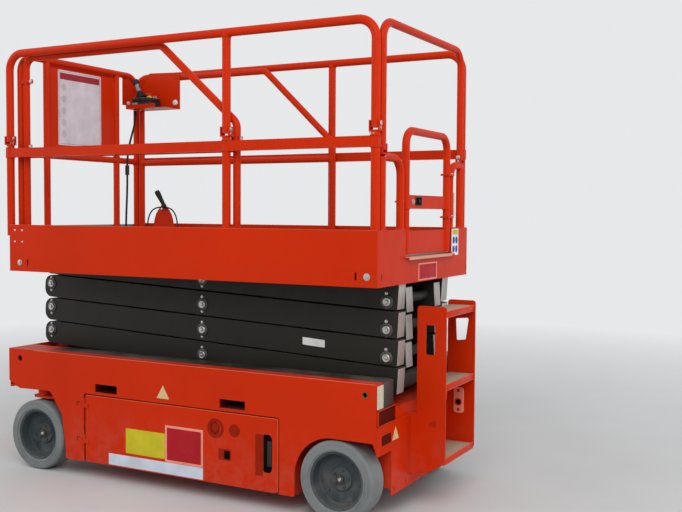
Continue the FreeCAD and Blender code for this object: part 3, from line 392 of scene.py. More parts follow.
class Nodes:
    """A node tree under construction."""

    def __init__(self, tree):
        self.tree = tree

    def node(self, kind, **settings):
        made = self.tree.nodes.new(kind)
        for name, value in settings.items():
            setattr(made, name, value)
        return made

    def join(self, output, socket):
        self.tree.links.new(output, socket)

    def feed(self, value, socket):
        """Joins an output to a socket, or sets the socket to a number or a colour."""
        if isinstance(value, bpy.types.NodeSocket):
            self.join(value, socket)
        elif isinstance(value, (int, float)):
            socket.default_value = value
        else:
            socket.default_value = (*value, 1)

    def times(self, first, second, operation="MULTIPLY"):
        made = self.node("ShaderNodeMath", operation=operation, use_clamp=True)
        for socket, value in zip(made.inputs, (first, second)):
            self.feed(value, socket)
        return made.outputs["Value"]


class Finish(Nodes):
    """A material under construction: its nodes read Object coordinates."""

    def __init__(self, name):
        self.material = bpy.data.materials.new(name)
        self.material.use_nodes = True
        super().__init__(self.material.node_tree)
        self.shader = self.tree.nodes["Principled BSDF"]
        self.place = self.node("ShaderNodeTexCoord").outputs["Object"]
        FINISHES[name] = self.material

    def mapped(self, setting, value):
        """The Object coordinates, stretched by a Scale or turned by a Rotation."""
        mapping = self.node("ShaderNodeMapping")
        mapping.inputs[setting].default_value = value
        self.join(self.place, mapping.inputs["Vector"])
        return mapping.outputs["Vector"]

    def noise(self, scale, detail=4.0, roughness=0.55, stretch=None):
        made = self.node("ShaderNodeTexNoise")
        self.join(self.mapped("Scale", stretch) if stretch else self.place, made.inputs["Vector"])
        for name, number in (("Scale", scale), ("Detail", detail), ("Roughness", roughness)):
            made.inputs[name].default_value = number
        return made.outputs["Fac"]

    def span(self, value, low, high, to_low=0.0, to_high=1.0):
        made = self.node("ShaderNodeMapRange", clamp=True)
        self.join(value, made.inputs["Value"])
        for name, number in (("From Min", low), ("From Max", high), ("To Min", to_low), ("To Max", to_high)):
            made.inputs[name].default_value = number
        return made.outputs["Result"]

    def mix(self, factor, first, second):
        made = self.node("ShaderNodeMix", data_type="RGBA")
        colours = [socket for socket in made.inputs if socket.type == "RGBA"]
        self.join(factor, made.inputs[0])
        for socket, colour in zip(colours, (first, second)):
            self.feed(colour, socket)
        return [socket for socket in made.outputs if socket.type == "RGBA"][0]

    def upright(self, vector):
        split = self.node("ShaderNodeSeparateXYZ")
        self.join(vector, split.inputs["Vector"])
        return split.outputs["Z"]

    def height(self, low, high):
        """1 at the low height and below, 0 at the high one."""
        return self.span(self.upright(self.place), low, high, 1, 0)

    def facing_up(self):
        return self.span(self.upright(self.node("ShaderNodeNewGeometry").outputs["Normal"]), 0.5, 0.95)

    def bump(self, value, distance, strength, under=None):
        made = self.node("ShaderNodeBump")
        made.inputs["Distance"].default_value = distance
        made.inputs["Strength"].default_value = strength
        self.join(value, made.inputs["Height"])
        if under is not None:
            self.join(under, made.inputs["Normal"])
        return made.outputs["Normal"]

    def soft_edge(self, radius):
        made = self.node("ShaderNodeBevel", samples=4)
        made.inputs["Radius"].default_value = radius
        return made.outputs["Normal"]

    def set(self, colour, roughness, normal=None, **plain):
        self.feed(colour, self.shader.inputs["Base Color"])
        self.feed(roughness, self.shader.inputs["Roughness"])
        if normal is not None:
            self.join(normal, self.shader.inputs["Normal"])
        for name, value in plain.items():
            self.shader.inputs[name.replace("_", " ")].default_value = value


def shade(colour, factor):
    return tuple(min(1.0, part * factor) for part in colour)


DUST = (0.30, 0.26, 0.22)
FLOOR_GRIME = (0.10, 0.095, 0.09)


def paint(name, colour, roughness=0.34, dust=0.25, edge=0.0022, coat=0.0, gloss=0.09):
    """Sprayed enamel: slight shade drift, orange peel, fine scuffs, and dust where it settles."""
    made = Finish(name)
    drift = made.span(made.noise(1.7, 5), 0.3, 0.7)
    base = made.mix(drift, shade(colour, 0.93), shade(colour, 1.04))
    scuff = made.span(made.noise(34, 8, 0.72, (0.35, 0.35, 2.2)), 0.66, 0.76, 0, 0.3)
    base = made.mix(scuff, base, shade(colour, 1.25))
    settle = made.times(made.facing_up(), made.span(made.noise(5, 8, 0.65), 0.35, 0.75))
    low = made.times(made.height(0.06, 0.42), made.span(made.noise(9, 8, 0.7), 0.42, 0.75))
    dirt = made.times(made.times(settle, low, "MAXIMUM"), dust)
    base = made.mix(dirt, base, DUST)
    grain = made.span(made.noise(14, 6), 0.3, 0.7, roughness - 0.06, roughness + 0.08)
    grain = made.times(grain, made.times(dirt, 0.8), "ADD")
    peel = made.bump(made.noise(420, 2), 0.00025, 0.5, made.soft_edge(edge))
    made.set(base, grain, peel, Coat_Weight=coat, Coat_Roughness=0.18, Specular_IOR_Level=gloss)


def metal(name, colour, roughness=0.3, metallic=1.0, streak=(1, 1, 14)):
    """Bare or plated metal, stained and brushed."""
    made = Finish(name)
    tint = made.span(made.noise(9, 6), 0.3, 0.7)
    base = made.mix(tint, shade(colour, 0.82), shade(colour, 1.06))
    stain = made.span(made.noise(42, 8, 0.7), 0.6, 0.78, 0, 0.45)
    base = made.mix(stain, base, shade(colour, 0.42))
    brushed = made.noise(160, 4, 0.6, streak)
    grain = made.span(brushed, 0.25, 0.75, roughness - 0.07, roughness + 0.14)
    made.set(base, grain, made.bump(brushed, 0.00012, 0.5), Metallic=metallic)


def rubber(name, colour):
    """Solid rubber that leaves no marks: chalky grey with grime from the floor."""
    made = Finish(name)
    base = made.mix(made.span(made.noise(6, 6), 0.3, 0.7), shade(colour, 0.84), shade(colour, 1.1))
    grime = made.span(made.noise(26, 10, 0.72), 0.45, 0.72, 0, 0.55)
    base = made.mix(made.times(grime, made.height(0.10, 0.36)), base, FLOOR_GRIME)
    pits = made.span(made.noise(130, 6, 0.7), 0.62, 0.7, 0, 0.5)
    base = made.mix(pits, base, shade(colour, 0.6))
    skin = made.bump(made.noise(90, 8, 0.7), 0.0009, 0.6)
    made.set(base, made.span(made.noise(30, 6), 0.3, 0.7, 0.72, 0.92), skin)


def plastic(name, colour, roughness=0.5, grain=900.0, depth=0.00012, gloss=0.3):
    """Moulded plastic or printed film, dusty on top."""
    made = Finish(name)
    base = made.mix(made.span(made.noise(12, 5), 0.3, 0.7), shade(colour, 0.9), shade(colour, 1.12))
    dusty = made.times(made.facing_up(), made.span(made.noise(30, 8, 0.7), 0.4, 0.75, 0, 0.22))
    base = made.mix(dusty, base, DUST)
    rough = made.span(made.noise(20, 5), 0.3, 0.7, roughness - 0.06, roughness + 0.1)
    made.set(base, rough, made.bump(made.noise(grain, 2), depth, 0.6), Specular_IOR_Level=gloss)


def tread_mat(name, colour):
    """Gritty anti-slip strip."""
    made = Finish(name)
    grit = made.noise(520, 3, 0.7)
    base = made.mix(made.span(grit, 0.35, 0.65), shade(colour, 0.62), shade(colour, 1.25))
    worn = made.span(made.noise(11, 6), 0.5, 0.75, 0, 0.4)
    made.set(made.mix(worn, base, DUST), 0.9, made.bump(grit, 0.0009, 0.9))


def deck_metal(name, colour):
    """Deck sheet with small raised lozenges worn bright, and fine scratches."""
    made = Finish(name)
    ridges = []
    for turn in (math.radians(45), math.radians(-45)):
        wave = made.node("ShaderNodeTexWave", bands_direction="X")
        made.join(made.mapped("Rotation", (0, 0, turn)), wave.inputs["Vector"])
        wave.inputs["Scale"].default_value = 26
        ridges.append(made.span(wave.outputs["Fac"], 0.55, 0.9))
    lift = made.times(*ridges)
    base = made.mix(made.span(made.noise(3, 8), 0.3, 0.7), shade(colour, 0.8), shade(colour, 1.08))
    scratch = made.span(made.noise(24, 10, 0.8, (0.2, 3, 1)), 0.6, 0.72, 0, 0.4)
    base = made.mix(scratch, base, shade(colour, 1.5))
    base = made.mix(made.times(lift, 0.35), base, shade(colour, 1.35))
    rough = made.span(made.noise(12, 6), 0.3, 0.7, 0.42, 0.66)
    made.set(base, rough, made.bump(lift, 0.0016, 0.8), Metallic=0.55)


LABEL_COLOURS = {
    "label_white": (0.78, 0.78, 0.76),
    "label_yellow": (0.57, 0.50, 0.02),
    "label_cream": (0.66, 0.50, 0.24),
    "label_red": (0.42, 0.010, 0.018),
    "label_salmon": (0.86, 0.30, 0.22),
    "label_cool": (0.60, 0.66, 0.74),
    "label_blue": (0.02, 0.06, 0.30),
    "label_maroon": (0.34, 0.025, 0.04),
    "label_grey": (0.52, 0.48, 0.49),
    "sign_face": (0.66, 0.60, 0.64),
}


def make_finishes(colours):
    red = tuple(colours.body_paint)
    paint("red_enamel", red)
    # Painted shade: a darker red laid in the door's slot and under its hinges.
    paint("inner_red", shade(red, 0.35), 0.5, 0.3)
    paint("shadow_red", shade(red, 0.14), 0.6, 0.2)
    # Painted shade: a darker red laid on the doors where recesses fall in shade.
    paint("recess_shade_red", shade(red, 0.5), 0.4, 0.1)
    paint("dark_enamel", tuple(colours.arm_paint), 0.46, 0.35, 0.003, 0.0, 0.22)
    paint("rim_enamel", tuple(colours.rim_paint), 0.5, 0.5, 0.001)
    paint("cylinder_enamel", (0.016, 0.016, 0.018), 0.35, 0.3, 0.002)
    paint("cream_plate", (0.62, 0.55, 0.42), 0.45, 0.2, 0.001)
    # A peach paler than the body red, for the lip along the rear plate's deck edge.
    paint("pale_lip", (0.72, 0.34, 0.24), 0.42, 0.3, 0.001, 0.1)
    # Painted highlight: a brighter red laid in thin strips along edges that catch the light.
    paint("highlight_red", (0.82, 0.13, 0.06), 0.3, 0.15, 0.001)
    rubber("grey_rubber", tuple(colours.tyre))
    deck_metal("deck_sheet", (0.33, 0.33, 0.32))
    tread_mat("tread_grit", (0.42, 0.34, 0.24))
    metal("zinc", (0.55, 0.54, 0.51), 0.36)
    metal("chrome_rod", (0.72, 0.72, 0.72), 0.14, 1.0, (1, 14, 1))
    metal("end_cap_steel", (0.46, 0.43, 0.40), 0.55, 0.6)
    metal("dark_steel", (0.09, 0.088, 0.085), 0.5, 0.8)
    metal("old_brass", (0.20, 0.12, 0.04), 0.5, 0.7)
    plastic("battery_plastic", (0.05, 0.05, 0.058))
    plastic("black_plastic", (0.018, 0.018, 0.019))
    plastic("soft_black", (0.012, 0.012, 0.012), 0.7, 500.0, 0.0003)
    plastic("grey_plastic", (0.30, 0.30, 0.30))
    plastic("white_knob", (0.72, 0.72, 0.70), 0.4)
    plastic("signal_red", (0.60, 0.012, 0.010), 0.35)
    # Painted shade: a near-black plate laid in slots, holes and recesses to stand for their dark inside.
    plastic("recess_shade_black", (0.004, 0.004, 0.004), 0.9, 300.0, 0.0001, 0.03)
    for name, colour in LABEL_COLOURS.items():
        plastic(name, colour, 0.45, 300.0, 0.00004, 0.15)


SLOT_FINISHES = {
    "red_paint": "red_enamel",
    "dark_paint": "dark_enamel",
    "tyre": "grey_rubber",
    "rim": "rim_enamel",
    "deck_plate": "deck_sheet",
    "cylinder_paint": "cylinder_enamel",
    "bright_steel": "chrome_rod",
    "battery_case": "battery_plastic",
    "black_plastic": "black_plastic",
}


# Sizes and colours that a user would change


class LiftSizes(bpy.types.PropertyGroup):
    pin_head: FloatProperty(
        name="Pin head", description="Radius of an arm pin's head",
        default=0.0195, min=0.01, max=0.03, subtype="DISTANCE", unit="LENGTH",
    )
    label_wall: FloatProperty(
        name="Label", description="Thickness of a blank label",
        default=0.0012, min=0.0003, max=0.004, subtype="DISTANCE", unit="LENGTH",
    )
    cable_width: FloatProperty(
        name="Cable", description="Diameter of the controller's cable",
        default=0.013, min=0.006, max=0.02, subtype="DISTANCE", unit="LENGTH",
    )


class LiftColours(bpy.types.PropertyGroup):
    body_paint: FloatVectorProperty(
        name="Body paint", description="Enamel on the chassis, platform and rails",
        default=(0.60, 0.026, 0.001), min=0, max=1, size=3, subtype="COLOR",
    )
    arm_paint: FloatVectorProperty(
        name="Arm paint", description="Enamel on the scissor arms",
        default=(0.020, 0.018, 0.014), min=0, max=1, size=3, subtype="COLOR",
    )
    rim_paint: FloatVectorProperty(
        name="Rim paint", description="Enamel on the wheel rims",
        default=(0.050, 0.068, 0.078), min=0, max=1, size=3, subtype="COLOR",
    )
    tyre: FloatVectorProperty(
        name="Tyre", description="Rubber of the solid tyres",
        default=(0.20, 0.215, 0.215), min=0, max=1, size=3, subtype="COLOR",
    )


def sizes():
    return bpy.context.scene.lift_sizes


# One operator for each piece or group of pieces


class LIFT_OT_camera(bpy.types.Operator):
    """Place the camera at the photograph's viewpoint"""

    bl_idname = "lift.camera"
    bl_label = "Camera"

    place = (-2.8793, 4.3367, 1.4315)
    yaw, pitch, roll = 0.4888, -0.0471, 0.0059
    focal_pixels, picture_pixels, sensor = 946.145, 682, 36

    def execute(self, context):
        scene = bpy.context.scene
        data = bpy.data.cameras.new("View")
        camera = bpy.data.objects.new("View", data)
        scene.collection.objects.link(camera)
        level = math.cos(self.pitch)
        forward = Vector((math.sin(self.yaw) * level, -math.cos(self.yaw) * level, math.sin(self.pitch)))
        right = forward.cross(UP).normalized()
        up = right.cross(forward)
        tilted = right * math.cos(self.roll) + up * math.sin(self.roll)
        upright = up * math.cos(self.roll) - right * math.sin(self.roll)
        turn = Matrix((tilted, upright, -forward)).transposed().to_4x4()
        camera.matrix_world = Matrix.Translation(self.place) @ turn
        data.sensor_width = self.sensor
        data.lens = self.focal_pixels / self.picture_pixels * self.sensor
        data.clip_start = 0.05
        data.clip_end = 200
        scene.camera = camera
        return {"FINISHED"}


class LIFT_OT_cable(bpy.types.Operator):
    """Hang the controller's cable from its gland to the connector and on to the deck socket"""

    bl_idname = "lift.cable"
    bl_label = "Controller cable"

    upper = ((2.178, -0.392, 2.058), (2.178, -0.392, 1.990), (2.194, -0.372, 1.900), (2.210, -0.354, 1.800),
             (2.212, -0.352, 1.715))
    lower = ((2.212, -0.352, 1.655), (2.212, -0.352, 1.570), (2.220, -0.354, 1.460), (2.224, -0.352, 1.350),
             (2.224, -0.352, 1.262))
    upper_length, lower_length = 0.349, 0.393

    def hang(self, name, places):
        """One length of cable through its places."""
        curve = smooth_line(name, places, sizes().cable_width / 2, 4, 12)
        curve.materials.append(FINISHES["soft_black"])
        cable = bpy.data.objects.new(name, curve)
        bpy.context.scene.collection.objects.link(cable)
        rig.ride(cable, "extension")
        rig.slot(cable, "black_plastic")
        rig.replaces(cable, "control_cable")
        return cable

    def relief(self):
        """The ribbed sleeve that keeps the cable from bending at its gland."""
        sleeve = Piece("cable_relief", "extension", "black_plastic", "soft_black")
        ribs = [(0.0066, 0)]
        for step in range(5):
            high = 0.004 + step * 0.007
            wide = 0.0079 + step * 0.0006
            ribs += [(wide, high), (wide, high + 0.004)]
            ribs += [(wide - 0.0012, high + 0.0045), (wide - 0.0012, high + 0.0065)]
        ribs += [(0.0104, 0.040), (0.0066, 0.040)]
        sleeve.add(turned(ribs, Vector(self.upper[0]) - UP * 0.038, UP, 20))
        return sleeve.done()

    def execute(self, context):
        routes = [[(REAR_END + x, y, z) for x, y, z in route] for route in (self.upper, self.lower)]
        upper, lower = self.hang("controller_cable", routes[0]), self.hang("deck_cable", routes[1])
        ends = [frame["nodes"]["cable_connector"], self.relief()]
        for cable, places, length, far_end, pieces in (
            (upper, routes[0], self.upper_length, "connector", ends),
            (lower, routes[1], self.lower_length, "object", []),
        ):
            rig.cord(
                cable, exit=places[0], length=length, diameter=sizes().cable_width, far_end=far_end,
                stiffness="medium", lay="hanging", with_pieces=pieces,
            )
        return {"FINISHED"}


class LIFT_OT_node_finishes(bpy.types.Operator):
    """Give every carried-over node its finish"""

    bl_idname = "lift.node_finishes"
    bl_label = "Node finishes"

    own = {
        "knuckle_left": "red_enamel",
        "knuckle_right": "red_enamel",
        "king_housings": "red_enamel",
        "fork_pocket_front": "shadow_red",
        "fork_pocket_rear": "shadow_red",
    }

    def execute(self, context):
        slots = {row["node"]: row["material_slot"] for row in frame["record"]["subparts"]}
        for name, piece in frame["nodes"].items():
            material = FINISHES[self.own.get(name, SLOT_FINISHES[slots[name]])]
            piece.data.materials.clear()
            piece.data.materials.append(material)
        return {"FINISHED"}


class LIFT_OT_wheel_fittings(bpy.types.Operator):
    """Bolts, hub nuts and tyre rings on the four wheels"""

    bl_idname = "lift.wheel_fittings"
    bl_label = "Wheel fittings"

    disc_face, hub_face, tyre_face = 0.4865, 0.4988, 0.5596
    hub_circle, rim_circle = (0.041, 5, 0.5), (0.094, 3, 1.3)

    def circle(self, centre, radius, count, first):
        """Places on a circle about a wheel's axle."""
        for step in range(count):
            angle = step * math.tau / count + first
            yield centre + Vector((math.cos(angle), 0, math.sin(angle))) * radius

    def wheel(self, wheel, side):
        low, high = node_box(f"tyre_{wheel}")
        out = LEFT * side
        face, hub, wall = (Vector(((low.x + high.x) / 2, side * y, (low.z + high.z) / 2))
                           for y in (self.disc_face, self.hub_face, self.tyre_face))
        rim = Piece(f"wheel_bolts_{wheel}", f"wheel_{wheel}", "rim", "dark_steel")
        for place in self.circle(hub, *self.hub_circle):
            rim.add(bolt(place, out, 0.0062, 0.005))
        screw = [(0.006, 0), (0.006, 0.002), (0.003, 0.0035), (0, 0.0036)]
        for place in self.circle(face, *self.rim_circle):
            rim.add(turned(screw, place, out, 16))
        rim.add(ring(face, out, 0.108, 0.116, 0.004), "rim_enamel")
        rim.add(ring(hub - out * 0.001, out, 0.046, 0.0535, 0.0035), "rim_enamel")
        washer = [(0, 0.0005), (0.0285, 0.0005), (0.0285, 0.003), (0.026, 0.0045), (0, 0.0045)]
        rim.add(turned(washer, hub, out))
        rim.add(stud(hub, out, 0.004, 0.0145, 0.0205, 6, 0.002))
        tip = [(0.0095, 0), (0.0095, 0.006), (0.0075, 0.0085), (0, 0.0088)]
        rim.add(turned(tip, hub + out * 0.0140, out, 20), "zinc")
        rim.done()
        tyre = Piece(f"tyre_rings_{wheel}", f"wheel_{wheel}", "tyre", "grey_rubber")
        for inner, outer, proud in ((0.1465, 0.1520, 0.0022), (0.1700, 0.1722, 0.0014)):
            tyre.add(ring(wall, out, inner, outer, proud))
        tyre.done()

    def execute(self, context):
        for end in ("front", "rear"):
            for name, side in SIDES:
                self.wheel(f"{end}_{name}", side)
        return {"FINISHED"}


class LIFT_OT_arm_fittings(bpy.types.Operator):
    """Pin heads with their keepers, end caps and wear rings on the scissor arms"""

    bl_idname = "lift.arm_fittings"
    bl_label = "Arm fittings"

    front_pin, rear_pin, low_pin, pitch = 2.206, 0.070, 0.607, 0.1333
    middle_pin = (front_pin + rear_pin) / 2
    face, wear_face = 0.3102, 0.217
    cap_wall, cap_half, cap_offset = 0.0032, 0.0595, 0.0556
    plate_place, plate_middle, plate_slope = (0.404, 0.769, 0.529, 0.806), 0.466, 0.0624

    def level(self, steps):
        """The height of a pin that many stages up."""
        return self.low_pin + self.pitch * steps

    def pin(self, piece, x, z, side):
        """A pin's bright head on its dark round boss."""
        out = LEFT * side
        place = Vector((x, side * self.face, z))
        head = sizes().pin_head
        boss = [(0, -0.0030), (head, -0.0030), (head, 0), (head * 1.7, 0), (head * 1.7, 0.0034),
                (head * 1.58, 0.0050), (0, 0.0050)]
        piece.add(turned(boss, place, out, 36), "dark_steel")
        base = place + out * 0.0045
        washer = [(head, 0), (head, 0.0036), (head * 0.9, 0.0050), (head * 0.62, 0.0050),
                  (head * 0.56, 0.0042), (0, 0.0042)]
        piece.add(turned(washer, base, out))
        piece.add(stud(base, out, 0.004, 0.0098, head * 0.46, 6, 0.0008))

    def keepers(self, piece, x, z, side, heights):
        """Small bolts above and below a pin, in the face of the outer arm."""
        for high in heights:
            piece.add(bolt((x + 0.003, side * (self.face - 0.0002), z + high), LEFT * side, 0.0056, 0.0045))

    def caps(self, piece, front_level, rear_level, inside, outside, shift):
        """Bright plates that close the rear ends of a pair of arms."""
        front = Vector((self.front_pin, 0, self.level(front_level)))
        rear = Vector((self.rear_pin, 0, self.level(rear_level)))
        along = (front - rear).normalized()
        centre = rear - along * self.cap_offset + Vector((-along.z, 0, along.x)) * shift
        turn = Matrix.Translation(centre) @ Matrix.Rotation(-math.atan2(along.z, along.x), 4, "Y")
        for side in (1, -1):
            wall, half = self.cap_wall / 2, self.cap_half
            shape = slab((-wall, side * inside, -half), (wall, side * outside, half), 0.0012)
            bmesh.ops.transform(shape, matrix=turn, verts=shape.verts)
            piece.add(shape, "end_cap_steel")

    def outer(self, stage):
        arms = Piece(f"outer_pins_{stage}", f"outer_{stage}", "dark_paint", "zinc")
        low, middle, high = (self.level(stage - down) for down in (1, 0.5, 0))
        for side in (1, -1):
            self.pin(arms, self.middle_pin, middle, side)
            self.keepers(arms, self.middle_pin, middle, side, (0.039, -0.037))
            if stage < 4:
                self.pin(arms, self.front_pin, high, side)
                self.keepers(arms, self.front_pin, high, side, (0.034, -0.037))
            if stage > 1:
                self.keepers(arms, self.rear_pin, low, side, (0.040, -0.0262))
        self.caps(arms, stage, stage - 1, 0.233, 0.307, 0.0275)
        if stage == 2:
            sign = label("y", self.plate_place, 0.003, self.face - 0.0004, self.face + 0.0010, 0.0003)
            for vert in sign.verts:
                vert.co.z += (vert.co.x - self.plate_middle) * self.plate_slope
            arms.add(sign, "label_white")
        arms.done()

    def inner(self, stage):
        arms = Piece(f"inner_pins_{stage}", f"inner_{stage}", "dark_paint", "zinc")
        wear = [(0.0262, 0), (0.044, 0), (0.044, 0.010), (0.0262, 0.010), (0.0262, 0)]
        for side in (1, -1):
            if stage < 4:
                self.pin(arms, self.rear_pin, self.level(stage), side)
            place = (self.middle_pin, side * self.wear_face, self.level(stage - 0.5))
            arms.add(turned(wear, place, LEFT * side), "dark_steel")
        if stage < 4:
            self.caps(arms, stage - 1, stage, 0.138, 0.212, 0.0)
        arms.done()

    def execute(self, context):
        for stage in (1, 2, 3, 4):
            self.outer(stage)
            self.inner(stage)
        return {"FINISHED"}


class LIFT_OT_side_fittings(bpy.types.Operator):
    """Tie-down rings, blank labels, latches and mats along both sides of the chassis"""

    bl_idname = "lift.side_fittings"
    bl_label = "Chassis side fittings"

    eye, eye_bore, beam_top = (0.058, 0.607), 0.0112, 0.6576
    door_hinges, latch_height = (0.3780, 0.1880), 0.364

    def execute(self, context):
        for name, side in SIDES:
            self.side = side
            self.trim(name)
            self.cover(name)
            self.door(name)
        return {"FINISHED"}

    def face(self, proud):
        """Y of a place that stands proud of the side's outer face."""
        return self.side * (PLATE_FACE + proud)

    def trim(self, name):
        trim = Piece(f"side_trim_{name}", "chassis", "red_paint", "highlight_red")
        x, z = self.eye
        trim.add(ring((x, self.face(0), z), LEFT * self.side, self.eye_bore, 0.0165, 0.0022), "old_brass")
        # Painted highlight: a thin brighter red strip along the top edge of the side plate.
        low, high = self.beam_top - 0.0024, self.beam_top + 0.0007
        trim.add(slab((0.004, self.face(-0.0038), low), (2.100, self.face(0.0003), high), 0.0010))
        gap = node_box(f"tray_door_{name}")[1].x + 0.004
        # Painted shadows of the door's hinges: small darker red plates beside the gap.
        for z in self.door_hinges:
            for x0, x1, z0, z1 in ((0.002, 0.044, 0.026, 0.030), (0.041, 0.044, 0.008, 0.030)):
                corners = [(gap + x0, self.face(-0.0005), z + z0), (gap + x1, self.face(0.0022), z + z1)]
                trim.add(slab(*corners, 0.0008), "inner_red")
        sign = [(1.161, 0.478), (1.241, 0.478), (1.201, 0.545)]
        trim.add(plate(sign, "y", self.face(-0.0005), self.face(sizes().label_wall)), "label_cream")
        trim.done()

    def cover(self, name):
        """Dark mat on the inner part of a side beam, and a dark plate on its rear end as painted shade for the beam's
        open inside.
        """
        inside, outside, end = (self.side * y for y in (0.3865, 0.4870, 0.4915))
        mat = Piece(f"beam_mat_and_end_shade_{name}", "chassis", "dark_paint", "dark_enamel")
        mat.add(slab((0.002, inside, self.beam_top), (2.040, outside, self.beam_top + 0.0022), 0.0009))
        # Painted shade: a dark plate on the beam's rear end, standing for its open, shaded inside.
        mat.add(slab((-0.0026, inside, 0.5420), (0.0004, end, self.beam_top + 0.0009), 0.0009), "dark_steel")
        mat.done()

    def door(self, name):
        face, wall, out = self.face, sizes().label_wall, LEFT * self.side
        door = Piece(f"door_trim_{name}", f"door_{name}", "red_paint", "recess_shade_red")
        back, deep, near = face(-0.030), face(-0.012), face(-0.001)
        # Painted shade in the door's slot: a near-black block for its dark inside and a darker red plate for its wall;
        # the grip and bar in it are parts.
        door.add(slab((0.536, back, 0.168), (0.619, face(-0.0052), 0.380), 0.004), "recess_shade_black")
        door.add(slab((0.598, deep, 0.176), (0.6165, near, 0.372), 0.002), "inner_red")
        door.add(slab((0.553, deep, 0.212), (0.578, near, 0.335), 0.004), "black_plastic")
        door.add(bar((0.588, deep, 0.222), (0.588, deep, 0.335), 0.0055), "zinc")
        # Two round recesses, drawn as rings and discs in a darker red: painted shade.
        round_parts = (
            (0.877, 40, [(0.0325, 0), (0.049, 0), (0.049, 0.0074), (0.0465, 0.0082), (0.0435, 0.0074),
                         (0.0325, 0.0074)]),
            (0.877, 36, [(0, 0), (0.0325, 0), (0.0325, 0.002), (0.0225, 0.003), (0.0215, 0.0090),
                         (0.0180, 0.0118), (0, 0.0124)]),
            (0.765, 36, [(0, 0), (0.0315, 0), (0.0315, 0.0074), (0.0295, 0.0080), (0.0265, 0.0072),
                         (0.0145, 0.0072), (0.0135, 0.0090), (0, 0.0092)]),
        )
        for x, steps, profile in round_parts:
            door.add(turned(profile, (x, face(-0.0065), self.latch_height), out, steps))
        # The first two are darker red patches as painted shade, the first on the slot's wall, the second round a
        # near-black square; the rest are blank labels.
        for finish, corners, radius, low, high, width in (
            ("recess_shade_red", (0.6005, 0.164, 0.643, 0.364), 0.004, -0.0004, 0.0009, 0.0003),
            ("recess_shade_red", (0.786, 0.212, 0.858, 0.268), 0.005, -0.0005, 0.0010, 0.0004),
            ("recess_shade_black", (0.790, 0.219, 0.824, 0.260), 0.003, 0, 0.0014, 0.0002),
            ("label_cool", (0.952, 0.096, 1.560, 0.155), 0.004, -0.0003, wall, 0.0003),
            ("label_salmon", (0.952, 0.157, 1.188, 0.345), 0.004, -0.0003, wall, 0.0003),
            ("label_red", (0.964, 0.169, 1.176, 0.333), 0.004, -0.0003, wall * 1.3, 0.0003),
            ("label_yellow", (1.190, 0.170, 1.444, 0.300), 0.004, -0.0003, wall, 0.0003),
        ):
            door.add(label("y", corners, radius, face(low), face(high), width), finish)
        # Painted highlights: thin brighter strips along the door's top and rear edges.
        low, high = node_box(f"tray_door_{name}")
        for first, second in (
            ((low.x + 0.001, high.z - 0.0028), (high.x - 0.012, high.z + 0.0001)),
            ((low.x - 0.0001, low.z + 0.002), (low.x + 0.0024, high.z - 0.001)),
        ):
            corners = [(first[0], face(-0.003), first[1]), (second[0], face(0.0004), second[1])]
            door.add(slab(*corners, 0.0008), "highlight_red")
        door.done()


